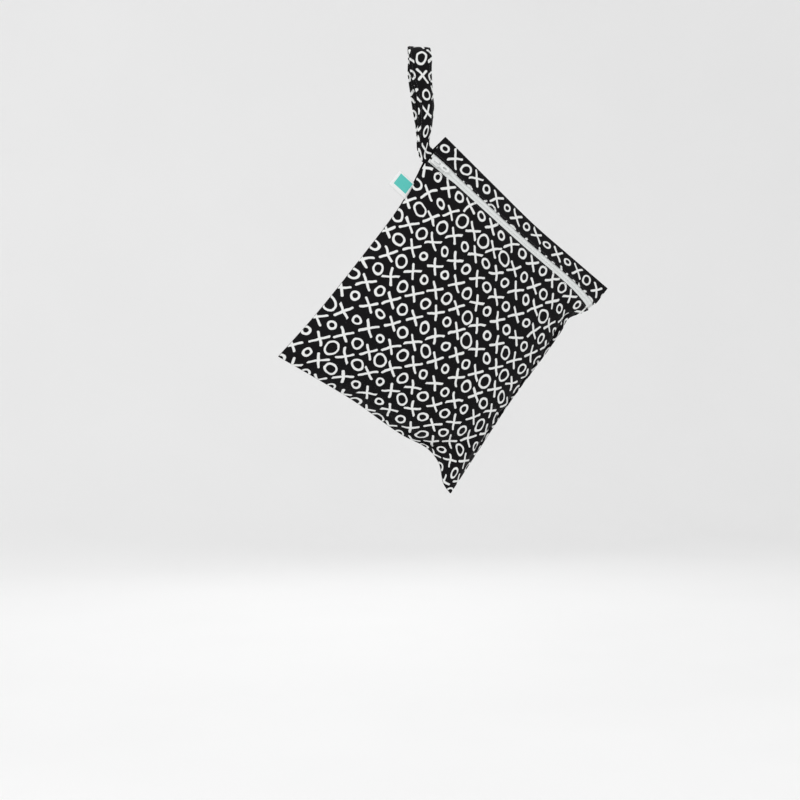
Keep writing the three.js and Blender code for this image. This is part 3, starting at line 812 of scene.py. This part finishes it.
@dataclass(frozen=True)
class LabelSatin:
    """White satin label tape with a plain teal woven field. The flat place runs out from the seam and along it."""

    field_from: tuple[float, float] = (0.0052, 0.0024)
    field_to: tuple[float, float] = (0.0262, 0.0186)
    soft: float = 0.00012
    weave: float = 0.0007
    white: Colour = (0.83, 0.84, 0.83, 1)
    shade: Colour = (0.72, 0.73, 0.72, 1)
    teal: Colour = (0.05, 0.47, 0.42, 1)
    pale_teal: Colour = (0.12, 0.58, 0.52, 1)

    def material(self) -> Finish:
        """Builds the finish."""
        g = Graph("label_satin")
        cut = g.flat_place()
        out, along, _ = g.parts(cut)
        off = [
            g.math("ABSOLUTE", at - (low + high) / 2) - (high - low) / 2
            for at, low, high in zip((out, along), self.field_from, self.field_to)
        ]
        inside = g.ramp(g.math("MAXIMUM", *off), self.soft, -self.soft)
        x, y, _ = g.parts(g.scaled(cut, 2 * math.pi / self.weave))
        weave = (g.math("SINE", x) * g.math("SINE", y)).lifted()
        tone = weave * 0.6 + g.noise(cut, 300, 2) * 0.4
        ground = g.blend(tone * 0.3, self.white, self.shade)
        return g.finish(
            Base_Color=g.blend(inside, ground, g.blend(tone, self.teal, self.pale_teal)), Roughness=0.48,
            Normal=g.bump(weave, 0.4, 0.0001), Sheen_Weight=0.2, Specular_IOR_Level=0.4,
        )


@dataclass(frozen=True)
class SpunThread:
    """Twisted sewing thread in one dye, with the turns of its ply to the metre."""

    name: str
    dark: Colour
    light: Colour
    ply: float = 5200

    def material(self) -> Finish:
        """Builds the finish."""
        g = Graph(self.name)
        x, y, z = g.parts(g.scaled(g.object_place(), self.ply))
        ply = g.math("SINE", x + y + z).lifted()
        colour = g.blend(ply, self.dark, self.light)
        return g.finish(Base_Color=colour, Roughness=0.6, Normal=g.bump(ply, 0.4, 0.00008), Sheen_Weight=0.2)


@dataclass(frozen=True)
class PaleFloor:
    """A pale seamless studio floor."""

    low: Colour = (0.91, 0.91, 0.91, 1)
    high: Colour = (0.94, 0.94, 0.94, 1)

    def material(self) -> Finish:
        """Builds the finish."""
        g = Graph("pale_floor")
        cloud = g.noise(g.object_place(), 3, 2)
        return g.finish(Base_Color=g.blend(cloud, self.low, self.high), Roughness=0.8)


@dataclass(frozen=True)
class Bead:
    """One bead of a row: its pitch, length, width and height, in metres."""

    pitch: float
    length: float
    width: float
    height: float


STITCH = Bead(0.0031, 0.0026, 0.0006, 0.0005)


class Instancer:
    """Sets small shapes along paths with a Geometry Nodes tree, and turns the result into a plain mesh."""

    SIZES = ("Pitch", "Length", "Width", "Height")
    SEED = 7

    def __init__(self) -> None:
        """Builds the tree once: a path, resampled, with an oval bead at each point."""
        self.tree = bpy.data.node_groups.new("stitch_row", "GeometryNodeTree")
        face = self.tree.interface
        face.new_socket("Geometry", in_out="INPUT", socket_type="NodeSocketGeometry")
        kinds = {name: "Float" for name in self.SIZES} | {"Seed": "Int", "Finish": "Material"}
        self.keys = {
            name: face.new_socket(name, in_out="INPUT", socket_type="NodeSocket" + kind).identifier
            for name, kind in kinds.items()
        }
        face.new_socket("Geometry", in_out="OUTPUT", socket_type="NodeSocketGeometry")
        self.build()

    def build(self) -> None:
        """Adds the tree's nodes."""
        add = NodeTree(self.tree).add
        given = add("NodeGroupInput").outputs
        curve = add("GeometryNodeMeshToCurve", {0: given["Geometry"]}).outputs[0]
        points = add("GeometryNodeCurveToPoints", {"Curve": curve, "Length": given["Pitch"]}, mode="LENGTH").outputs
        bead = add("GeometryNodeMeshUVSphere", {"Segments": 8, "Rings": 5, "Radius": 0.5}).outputs["Mesh"]
        size = add("ShaderNodeCombineXYZ", dict(enumerate(given[name] for name in self.SIZES[1:]))).outputs[0]
        oval = add("GeometryNodeTransform", {"Geometry": bead, "Scale": size}).outputs[0]
        facing = add("GeometryNodeInputNamedAttribute", {"Name": "facing"}, data_type="FLOAT_VECTOR")
        align = "FunctionNodeAlignRotationToVector"
        up = add(align, {"Vector": facing.outputs["Attribute"]}, axis="Z").outputs[0]
        along = add(align, {"Rotation": up, "Vector": points["Tangent"]}, axis="X", pivot_axis="Z").outputs[0]
        uneven = add("FunctionNodeRandomValue", {2: 0.9, 3: 1.06, "Seed": given["Seed"]}, data_type="FLOAT").outputs[1]
        feeds = {"Points": points["Points"], "Instance": oval, "Rotation": along, "Scale": uneven}
        placed = add("GeometryNodeInstanceOnPoints", feeds).outputs[0]
        real = add("GeometryNodeRealizeInstances", {0: placed}).outputs[0]
        finish = add("GeometryNodeSetMaterial", {"Geometry": real, "Material": given["Finish"]}).outputs[0]
        shaded = add("GeometryNodeSetShadeSmooth", {0: finish}).outputs[0]
        add("NodeGroupOutput", {0: shaded})

    def run(self, name: str, paths: Sequence[tuple[Array, Array]], bead: Bead, finish: Finish) -> Piece:
        """Lays beads along paths.

        Args:
            name: The new piece's name.
            paths: Pairs of points in metres and the directions that the beads face.
            bead: The beads' sizes.
            finish: Their material.

        Returns:
            A plain mesh object.
        """
        points, facing = (np.concatenate(column) for column in zip(*paths))
        edges, start = [], 0
        for path, _ in paths:
            edges += [(start + k, start + k + 1) for k in range(len(path) - 1)]
            start += len(path)
        mesh = bpy.data.meshes.new(name + "_path")
        mesh.from_pydata(points.tolist(), edges, [])
        attribute = mesh.attributes.new("facing", "FLOAT_VECTOR", "POINT")
        attribute.data.foreach_set("vector", facing.astype(np.float32).ravel())
        carrier = linked(name + "_path", mesh)
        modifier = carrier.modifiers.new("beads", "NODES")
        modifier.node_group = self.tree
        for key in self.SIZES:
            modifier[self.keys[key]] = float(getattr(bead, key.lower()))
        modifier[self.keys["Seed"]] = self.SEED
        modifier[self.keys["Finish"]] = finish
        bpy.context.view_layer.update()
        graph = bpy.context.evaluated_depsgraph_get()
        made = bpy.data.meshes.new_from_object(carrier.evaluated_get(graph), depsgraph=graph)
        bpy.data.objects.remove(carrier)
        made.name = name
        return linked(name, made)


def dress(piece: Piece, finish: Finish, body: Body, slot: str, *nodes: str) -> None:
    """Gives a piece its finish and its body, and hides the CAD nodes that it stands for.

    Args:
        piece: The piece.
        finish: Its material.
        body: The body that it rides on.
        slot: Not used.
        *nodes: CAD nodes that it replaces.
    """
    piece.data.materials.clear()
    piece.data.materials.append(finish)
    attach(piece, body.value)
    if nodes:
        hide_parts(*nodes)
    LOG.info("%s: %d faces", piece.name, len(piece.data.polygons))


@dataclass(frozen=True)
class Hem:
    """A turned-in cloth edge: how deep the turn is and how far the cloth runs back, in mm."""

    deep: float
    back: float

    def rows(self, edge: Array, into: Array, under: Array) -> list[tuple[Array, float]]:
        """Rows of points from the edge round the turn.

        Args:
            edge: Points along the cloth's edge, in mm.
            into: Direction from each one into the panel.
            under: Direction from each one to the panel's inner side.

        Returns:
            Four rows of points, each with the cloth's length from the edge.
        """
        turns = ((-0.28, 0.16, 0.4), (-0.36, 0.5, 0.8), (-0.1, 0.9, 1.3), (self.back / self.deep, 1.0, self.back))
        return [(edge + self.deep * (along * into + down * under), run) for along, down, run in turns]


@dataclass
class PanelMesh:
    """Gathers the corners and faces of one cloth panel with its hems."""

    points: list[Array] = field(default_factory=list)
    places: list[Array] = field(default_factory=list)
    faces: list[tuple[int, ...]] = field(default_factory=list)
    count: int = 0

    def add(self, points: Array, places: Array) -> Array:
        """Adds corners and gives back their numbers in the same layout."""
        numbers = self.count + np.arange(points[..., 0].size).reshape(points.shape[:-1])
        self.points.append(points.reshape(-1, 3))
        self.places.append(places.reshape(-1, 2))
        self.count += numbers.size
        return numbers

    def grid(self, points: Array, places: Array, flip: bool = False) -> Array:
        """Adds a grid of corners with its faces and gives back the corners' numbers."""
        numbers = self.add(points, places)
        self.faces += [face[::-1] if flip else face for face in grid_faces(numbers)]
        return numbers

    def hem(self, numbers: Array, edge: Array, places: Array, into: Array, under: Array, hem: Hem, flip: bool) -> None:
        """Adds a hem along an edge that is already there.

        Args:
            numbers: The edge's corner numbers.
            edge: Their points in mm.
            places: Their places in the cut in mm.
            into: Directions into the panel.
            under: Directions to the panel's inner side.
            hem: The hem's sizes.
            flip: Whether the hem's faces are wound the other way.
        """
        last = numbers
        for row, run in hem.rows(edge, into, under):
            fresh = self.add(row, places + np.array([0.0, run]))
            pair = np.stack([last, fresh])
            self.faces += grid_faces(pair[::-1] if flip else pair)
            last = fresh

    def made(self, name: str, form: FilledForm, thick: float) -> Piece:
        """Turns what was gathered into a sheet with thickness."""
        points = form.to_world(np.concatenate(self.points))
        sheet = plain_object(name, points, self.faces, np.concatenate(self.places) * MM)
        thicken(sheet, thick * MM)
        return sheet


@dataclass
class BagBody:
    """The two printed walls, with hems at the seams and along the zip."""

    cloth: SettledCloth
    columns: int = 140
    front_rows: int = 146
    back_rows: int = 156
    strip_rows: int = 15
    fold_rows: int = 6
    thick: float = 0.45
    zip_show: float = 11
    zip_show_at_slider: float = 13.6
    show_narrows: tuple[float, float] = (30, 46)
    seam_hem: Hem = Hem(1.25, 6)
    zip_hem: Hem = Hem(0.8, 7)
    front_print_start: tuple[float, float] = (7.4, 10.2)

    def half_show(self, u: Array) -> Array:
        """Half the height of the zip band that shows between the cloth edges."""
        near = 1 - smoothstep(u, *self.show_narrows)
        return mix(self.zip_show, self.zip_show_at_slider, near) / 2

    def seam_hems(self, panel: PanelMesh, side: Side, numbers: Array, points: Array, places: Array) -> None:
        """Turns in a wall's side and bottom edges.

        Args:
            panel: The panel's mesh.
            side: Which wall.
            numbers: Its grid of corner numbers, rows down and columns along u.
            points: Its points in mm.
            places: Its places in the cut in mm.
        """
        under = np.array([0.0, -side.value, 0.0])
        for edge, near, wound in (
            (np.s_[:, 0], np.s_[:, 3], False),
            (np.s_[:, -1], np.s_[:, -4], True),
            (np.s_[-1, :], np.s_[-4, :], False),
        ):
            into = points[near] - points[edge]
            into[:, 1] = 0
            panel.hem(
                numbers[edge], points[edge], places[edge], unit(into), np.broadcast_to(under, into.shape),
                self.seam_hem, wound != (side is Side.BACK),
            )

    def front(self, finish: Finish) -> None:
        """The front wall, from the zip's lower edge to the bottom seam."""
        form = self.cloth.form
        u = np.linspace(0, form.width, self.columns + 1)[None, :]
        share = np.linspace(0, 1, self.front_rows + 1)[:, None]
        v = mix(form.zip_drop + self.half_show(u), form.height, share)
        u = np.broadcast_to(u, v.shape)
        points = self.cloth.outside(Side.FRONT, u, v)
        places = np.stack([u, v], axis=-1) + self.front_print_start
        panel = PanelMesh()
        numbers = panel.grid(points, places)
        self.seam_hems(panel, Side.FRONT, numbers, points, places)
        under = -self.cloth.outward(Side.FRONT, u[0], v[0])
        panel.hem(numbers[0], points[0], places[0], unit(points[2] - points[0]), under, self.zip_hem, True)
        sheet = panel.made("front_cloth", form, self.thick)
        dress(sheet, finish, Body.BAG, "printed_cloth", "front_panel")

    def back(self, finish: Finish) -> None:
        """The back wall in one cut with the strip that folds over the top and comes down to the zip."""
        form = self.cloth.form
        u = np.linspace(0, form.width, self.columns + 1)
        rows, drops = [], []
        for share in np.linspace(0, 1, self.strip_rows, endpoint=False):
            v = mix(form.zip_drop - self.half_show(u), 0 * u, share)
            rows.append(self.cloth.outside(Side.FRONT, u, v))
            drops.append(-v)
        front, back = (self.cloth.outside(side, u, 0 * u) for side in (Side.FRONT, Side.BACK))
        reach = (back[:, 1] - front[:, 1]) / 2
        for turn in np.linspace(0, np.pi, self.fold_rows, endpoint=False):
            around = np.stack([0 * u, -reach * np.cos(turn), reach * np.sin(turn)], axis=-1)
            rows.append((front + back) / 2 + around)
            drops.append(0 * u)
        for v in np.linspace(0, form.height, self.back_rows + 1):
            rows.append(self.cloth.outside(Side.BACK, u, v + 0 * u))
            drops.append(v + 0 * u)
        points = np.stack(rows)
        places = np.stack([np.broadcast_to(u, points.shape[:2]), np.stack(drops)], axis=-1)
        panel = PanelMesh()
        numbers = panel.grid(points, places, flip=True)
        first = self.strip_rows + self.fold_rows
        self.seam_hems(panel, Side.BACK, numbers[first:], points[first:], places[first:])
        v = form.zip_drop - self.half_show(u)
        under = -self.cloth.outward(Side.FRONT, u, v)
        panel.hem(numbers[0], points[0], places[0], unit(points[2] - points[0]), under, self.zip_hem, False)
        sheet = panel.made("back_cloth", form, self.thick)
        dress(sheet, finish, Body.BAG, "printed_cloth", "back_panel")


@dataclass
class Zip:
    """Tapes, coil, slider and pull of the zip across the front."""

    cloth: SettledCloth
    columns: int = 150
    tape_rows: int = 8
    tape_width: float = 13
    tape: float = 1.0
    tape_from: float = 1.5
    tape_to: float = 301
    depth: float = 1.5
    slit: float = 0.16
    slit_at_slider: float = 3.2
    slit_closes: tuple[float, float] = (20, 30)
    coil_from: float = 21
    coil_to: float = 294
    coil_radius: float = 1.1
    coil_pitch: float = 0.0013
    coil_turn: float = 0.00125
    coil_room: float = 0.3
    coil_steps: int = 200
    stitch_from: float = 3
    stitch_to: float = 301
    stitch_steps: int = 300
    stitch_in: float = 2.2
    stitch_lift: float = 0.1

    def tapes(self, finish: Finish) -> None:
        """The two woven tapes, sewn to the inside of the cloth."""
        form = self.cloth.form
        u = np.linspace(self.tape_from, self.tape_to, self.columns + 1)[None, :]
        half = mix(self.slit, self.slit_at_slider, 1 - smoothstep(u, *self.slit_closes)) / 2
        for name, way in (("upper", -1), ("lower", 1)):
            share = np.linspace(0, 1, self.tape_rows + 1)[:, None]
            off = mix(half, self.tape_width, share if way > 0 else 1 - share)
            v = form.zip_drop + way * off
            along = np.broadcast_to(u, v.shape)
            points = self.cloth.inside(Side.FRONT, along, v, self.depth)
            panel = PanelMesh()
            panel.grid(points, np.stack([along, off], axis=-1))
            tape = panel.made(f"tape_{name}", form, self.tape)
            dress(tape, finish, Body.BAG, "zip_tape", f"zip_tape_{name}")

    def coil(self, instancer: Instancer, finish: Finish) -> None:
        """The turns of the coil behind the slit, laid side by side across it."""
        form = self.cloth.form
        u = np.linspace(self.coil_from, self.coil_to, self.coil_steps)
        v = np.full_like(u, form.zip_drop)
        deep = self.depth + self.tape + self.coil_room + self.coil_radius
        path = form.to_world(self.cloth.inside(Side.FRONT, u, v, deep))
        facing = form.turned(self.cloth.outward(Side.FRONT, u, v))
        wide = 2 * self.coil_radius * MM
        turn = Bead(self.coil_pitch, self.coil_turn, wide, wide)
        dress(instancer.run("coil_turns", [(path, facing)], turn, finish), finish, Body.BAG, "zip_coil", "zip_coil")

    def stitches(self, body: BagBody, instancer: Instancer, finish: Finish) -> None:
        """A row of stitches in the cloth on each side of the zip."""
        form = self.cloth.form
        u = np.linspace(self.stitch_from, self.stitch_to, self.stitch_steps)
        paths = []
        for way in (-1, 1):
            v = form.zip_drop + way * (body.half_show(u) + self.stitch_in)
            out = self.cloth.outward(Side.FRONT, u, v)
            at = self.cloth.outside(Side.FRONT, u, v) + self.stitch_lift * out
            paths.append((form.to_world(at), form.turned(out)))
        dress(instancer.run("zip_stitches", paths, STITCH, finish), finish, Body.BAG, "printed_cloth")

    @staticmethod
    def slider(finish: Finish) -> None:
        """The slider and the pull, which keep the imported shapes."""
        for node in ("zip_slider", "zip_pull"):
            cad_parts[node].data.materials.clear()
            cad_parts[node].data.materials.append(finish)


@dataclass(frozen=True)
class StrapStation:
    """One place along the strap, in mm: its middle, direction across, width, the curl of its edges, and how far the
    back run hangs aside there."""

    at: Place
    across: Place
    wide: float
    curl: float
    aside: float = 0


@dataclass(frozen=True)
class StrapCourse:
    """The band's course, evenly spaced: its middle, directions, width, curl and length so far, in mm."""

    middle: Array
    across: Array
    out: Array
    wide: Array
    curl: Array
    long: Array


@dataclass
class HangStrap:
    """The printed cloth band that loops over what carries the bag. A run's row is z, x, y, width, curl and aside."""

    cloth: SettledCloth
    thick: float = 1.7
    seam_at: float = 33
    seam_long: float = 20
    seam_ease: float = 0.1
    tuck: float = 2.5
    lead_out: float = 4
    gap: float = 0.3
    carrier_radius: float = 16
    steps: int = 190
    cells: int = 16
    over_steps: int = 10
    twist_span: tuple[float, float] = (96, 134)
    twist: float = 0.8
    straight_turn: float = 0.15
    print_middle: float = 9.4
    print_half: float = 15.0
    stitch_in: float = 5
    stitch_lift: float = 0.08
    stitch_skip: int = 6
    rim: tuple[tuple[float, float], ...] = ((0.55, 0.62), (0.75, 0.0), (0.55, -0.62))
    run: tuple[tuple[float, float, float, float, float, float], ...] = (
        (-16, -0.3, -16.9, 30, 0, 13),
        (-30, 1, -15.6, 28.5, 1, 10.2),
        (-52, 7.7, -12.6, 23, 4, 3.8),
        (-75, 12.5, -9.2, 21, 4.4, 0.2),
        (-95, 12.7, -6.4, 18.5, 4.2, 1.3),
        (-112, 11.1, -4.2, 17, 3, 2.2),
        (-126, 11, -2.4, 17, 1.4, 0),
    )

    def front_run(self) -> list[StrapStation]:
        """Stations from the carrier down the front to the sewn end."""
        form = self.cloth.form
        rows = self.run[::-1]
        x, y, *rest = (SmoothTable(tuple((row[0], row[k]) for row in rows)) for k in range(1, 6))
        seam_way = form.turned(np.array([0.0, 0.0, 1.0]))
        level = np.array([1.0, 0.0, 0.0])
        stations = []
        for z in np.concatenate([np.linspace(a[0], b[0], 3, endpoint=False) for a, b in zip(self.run, self.run[1:])]):
            turn = self.twist * smoothstep(-z, *self.twist_span)
            across = unit(mix(level, seam_way, turn))
            at = (float(x(z)), float(y(z)), z)
            stations.append(StrapStation(at, tuple(across), *(float(column(z)) for column in rest)))
        seam_x, seam_z = form.in_plane(np.array(0.0), np.array(self.seam_at))
        end_y = -(self.thick + self.seam_ease + self.gap) / 2
        for along in (-self.lead_out, 0, self.tuck):
            at = form.to_world(np.array([seam_x + along, end_y, seam_z])) / MM
            stations.append(StrapStation(tuple(at), tuple(seam_way), self.seam_long, 0))
        return stations

    def stations(self) -> list[StrapStation]:
        """Stations up the front, over the carrier and down the back."""
        front = self.front_run()[::-1]
        back = [
            StrapStation((s.at[0] + s.aside, -s.at[1], s.at[2]), s.across, s.wide, -s.curl) for s in reversed(front)
        ]
        radius = self.carrier_radius + self.thick / 2
        over = []
        top = front[-1]
        for share in np.linspace(0, 1, self.over_steps)[1:-1]:
            turn = np.pi * share
            x = top.at[0] + top.aside * float(smoothstep(share, self.straight_turn, 1))
            at = (x, -radius * math.cos(turn), radius * math.sin(turn) - self.carrier_radius)
            over.append(StrapStation(at, (1.0, 0.0, 0.0), top.wide, 0))
        return front + over + back

    def course(self) -> StrapCourse:
        """The smooth course through all stations."""
        stations = self.stations()
        at = np.array([s.at for s in stations])
        long = np.concatenate([[0], np.cumsum(np.linalg.norm(np.diff(at, axis=0), axis=1))])
        even = np.linspace(0, long[-1], self.steps)

        def smooth(name: str) -> Array:
            """Reads one field of the stations at even lengths."""
            columns = np.array([getattr(s, name) for s in stations], float).reshape(len(stations), -1).T
            return np.stack([SmoothTable(tuple(zip(long, column)))(even) for column in columns], axis=-1)

        middle, across = smooth("at"), unit(smooth("across"))
        out = unit(np.cross(across, np.gradient(middle, axis=0)))
        return StrapCourse(middle, across, out, smooth("wide")[:, 0], smooth("curl")[:, 0], even)

    def crease(self, long: Array, share: Array) -> Array:
        """Small wrinkles of the band, strongest low down where it is gathered."""
        total = long.max()
        low = 1 - np.minimum(long, total - long) / (total / 2)
        waves = np.sin(long * 0.31 + 2.1 * share) * np.cos(long * 0.117 + 1.3)
        waves = waves + 0.6 * np.sin(long * 0.53 - 3.4 * share)
        return (0.12 + 0.5 * low**2) * waves

    def build(self, finish: Finish) -> None:
        """The band as one closed strip with rounded edges."""
        course = self.course()
        share = np.linspace(-1, 1, self.cells + 1)
        around = [(s, 1.0, 0.0) for s in share] + [(1.0, up, out) for out, up in self.rim]
        around += [(s, -1.0, 0.0) for s in share[::-1]] + [(-1.0, -up, -out) for out, up in self.rim]
        s, up, out = np.array(around).T
        long = course.long[:, None]
        lift = up * self.thick / 2 - course.curl[:, None] * s * s + self.crease(long, s)
        off = course.wide[:, None] / 2 * s + out * self.thick / 2
        points = course.middle[:, None] + off[..., None] * course.across[:, None]
        points = points + lift[..., None] * course.out[:, None]
        places = np.stack(np.broadcast_arrays(self.print_middle + s * self.print_half, long), axis=-1)
        numbers = np.arange(off.size).reshape(off.shape)
        faces = grid_faces(np.concatenate([numbers, numbers[:, :1]], axis=1))
        faces += [tuple(numbers[0]), tuple(numbers[-1][::-1])]
        band = plain_object("strap_band", points.reshape(-1, 3) * MM, faces, places.reshape(-1, 2) * MM)
        facing_out(band)
        dress(band, finish, Body.BAG, "printed_cloth", "hang_strap")

    def stitches(self, instancer: Instancer, finish: Finish) -> None:
        """A row of stitches near each edge of the band, on both faces."""
        course = self.course()
        inner = slice(self.stitch_skip, -self.stitch_skip)
        paths = []
        for way in (-1, 1):
            s = way * (1 - self.stitch_in / course.wide)
            side = course.middle + (course.wide / 2 * s)[:, None] * course.across
            for face in (-1, 1):
                lift = face * (self.thick / 2 + self.stitch_lift) - course.curl * s * s + self.crease(course.long, s)
                at = side + lift[:, None] * course.out
                paths.append((at[inner] * MM, face * course.out[inner]))
        rows = instancer.run("strap_stitches", paths, STITCH, finish)
        dress(rows, finish, Body.BAG, "printed_cloth")


@dataclass
class SideLabel:
    """A strip of satin tape folded over, with both ends in the side seam."""

    form: FilledForm
    at: float = 84
    wide: float = 24
    out: float = 27.5
    tuck: float = 2.5
    thick: float = 0.5
    half_gap: float = 0.75
    bow: float = 0.35
    rows: int = 16
    steps: int = 44

    def build(self, finish: Finish) -> None:
        """The folded strip as one sheet."""
        seam = float(self.form.in_plane(np.array(0.0), np.array(self.at))[0])
        straight = self.out + self.tuck - self.half_gap
        total = 2 * straight + math.pi * self.half_gap
        lane = np.linspace(0, total, self.steps + 1)
        far = np.minimum(lane, total - lane)
        angle = np.clip((lane - straight) / self.half_gap, 0, np.pi)
        x = seam + self.tuck - np.minimum(far, straight) - self.half_gap * np.sin(angle)
        across = np.linspace(-self.wide / 2, self.wide / 2, self.rows + 1)
        lane_x, drop = np.meshgrid(x, across)
        y = np.broadcast_to(-self.half_gap * np.cos(angle), lane_x.shape)
        bow = self.bow * np.sin(np.pi * np.clip(far / total * 2, 0, 1))
        depth = y + np.sign(y) * bow * np.cos(across / self.wide * np.pi)[:, None]
        panel = PanelMesh()
        panel.grid(
            np.stack([lane_x, depth, -self.at - drop], axis=-1),
            np.stack([np.broadcast_to(far, lane_x.shape), drop + self.wide / 2], axis=-1),
            flip=True,
        )
        label = panel.made("folded_label", self.form, self.thick)
        dress(label, finish, Body.BAG, "label_satin", "side_label")


def facing_out(piece: Piece) -> None:
    """Turns the faces of a closed mesh outwards."""
    solid = bmesh.new()
    solid.from_mesh(piece.data)
    bmesh.ops.recalc_face_normals(solid, faces=solid.faces)
    solid.to_mesh(piece.data)
    solid.free()


@dataclass(frozen=True)
class SoftLight:
    """A square soft light: its place and size in metres, and its power."""

    name: str
    at: Place
    size: float
    power: float


@dataclass
class Studio:
    """Pale seamless floor, soft lights and the camera at the photograph's angle."""

    floor: float = -0.98
    floor_front: float = -6.0
    floor_half: float = 7.0
    sweep_at: float = 2.2
    sweep_radius: float = 1.2
    wall_high: float = 6.0
    azimuth: float = -23.3547
    elevation: float = 3.8344
    camera_at: Place = (-1.13677, -2.58313, -0.2566)
    lens: float = 99.70
    sensor: float = 36
    world: float = 0.8
    aim: Place = (0.05, 0, -0.33)
    lights: tuple[SoftLight, ...] = (
        SoftLight("key_light", (-1.7, -1.7, 0.75), 1.3, 17),
        SoftLight("fill_light", (1.7, -1.9, 0.1), 1.6, 3),
        SoftLight("top_light", (0.1, 0.3, 1.6), 1.8, 5),
        SoftLight("back_light", (0.6, 1.9, 0.4), 1.6, 6),
    )

    def build(self) -> None:
        """Makes the stage, the lights and the camera."""
        self.build_floor()
        for light in self.lights:
            lamp = bpy.data.lights.new(light.name, "AREA")
            lamp.shape, lamp.size, lamp.energy = "SQUARE", light.size, light.power
            made = linked(light.name, lamp)
            made.location = light.at
            made.rotation_euler = (Vector(self.aim) - Vector(light.at)).to_track_quat("-Z", "Y").to_euler()
        sky = bpy.data.worlds.new("pale_room")
        sky.use_nodes = True
        shade = sky.node_tree.nodes["Background"]
        shade.inputs[0].default_value = (1, 1, 1, 1)
        shade.inputs[1].default_value = self.world
        bpy.context.scene.world = sky
        bpy.context.scene.view_settings.view_transform = "Standard"
        self.build_camera()

    def build_floor(self) -> None:
        """A floor that sweeps up behind."""
        radius, back = self.sweep_radius, self.sweep_at
        profile = [(self.floor_front, self.floor)]
        for turn in np.linspace(0, np.pi / 2, 16):
            profile.append((back + radius * math.sin(turn), self.floor + radius * (1 - math.cos(turn))))
        profile.append((back + radius, self.floor + self.wall_high))
        points = np.array([[(x, y, z) for x in (-self.floor_half, self.floor_half)] for y, z in profile])
        numbers = np.arange(points.shape[0] * 2).reshape(-1, 2)
        floor = plain_object("floor", points.reshape(-1, 3), [face[::-1] for face in grid_faces(numbers)])
        floor.data.materials.append(PaleFloor().material())

    def build_camera(self) -> None:
        """The camera at the photograph's place and angle."""
        a, e = math.radians(self.azimuth), math.radians(self.elevation)
        back = Vector((math.sin(a) * math.cos(e), -math.cos(a) * math.cos(e), math.sin(e)))
        lens = bpy.data.cameras.new("camera")
        lens.lens, lens.sensor_width = self.lens, self.sensor
        camera = linked("camera", lens)
        camera.location = self.camera_at
        camera.rotation_euler = (-back).to_track_quat("-Z", "Y").to_euler()
        bpy.context.scene.camera = camera


def main() -> None:
    """Builds and dresses the bag, piece by piece, and sets the stage."""
    logging.basicConfig(level=logging.INFO, format="%(name)s %(message)s")
    Studio().build()
    printed = PrintedCloth().material()
    tape = WovenTape().material()
    enamel = Enamel().material()
    coil = Enamel("coil_plastic", (0.72, 0.74, 0.73, 1), (0.6, 0.62, 0.61, 1)).material()
    black_thread = SpunThread("black_thread", (0.008, 0.008, 0.009, 1), (0.03, 0.03, 0.032, 1)).material()
    cloth = SettledCloth()
    cloth.settle()
    instancer = Instancer()
    body = BagBody(cloth)
    body.front(printed)
    body.back(printed)
    closure = Zip(cloth)
    closure.tapes(tape)
    closure.coil(instancer, coil)
    closure.stitches(body, instancer, black_thread)
    strap = HangStrap(cloth)
    strap.build(printed)
    strap.stitches(instancer, black_thread)
    SideLabel(cloth.form).build(LabelSatin().material())
    closure.slider(enamel)


if __name__ == "__main__":
    main()
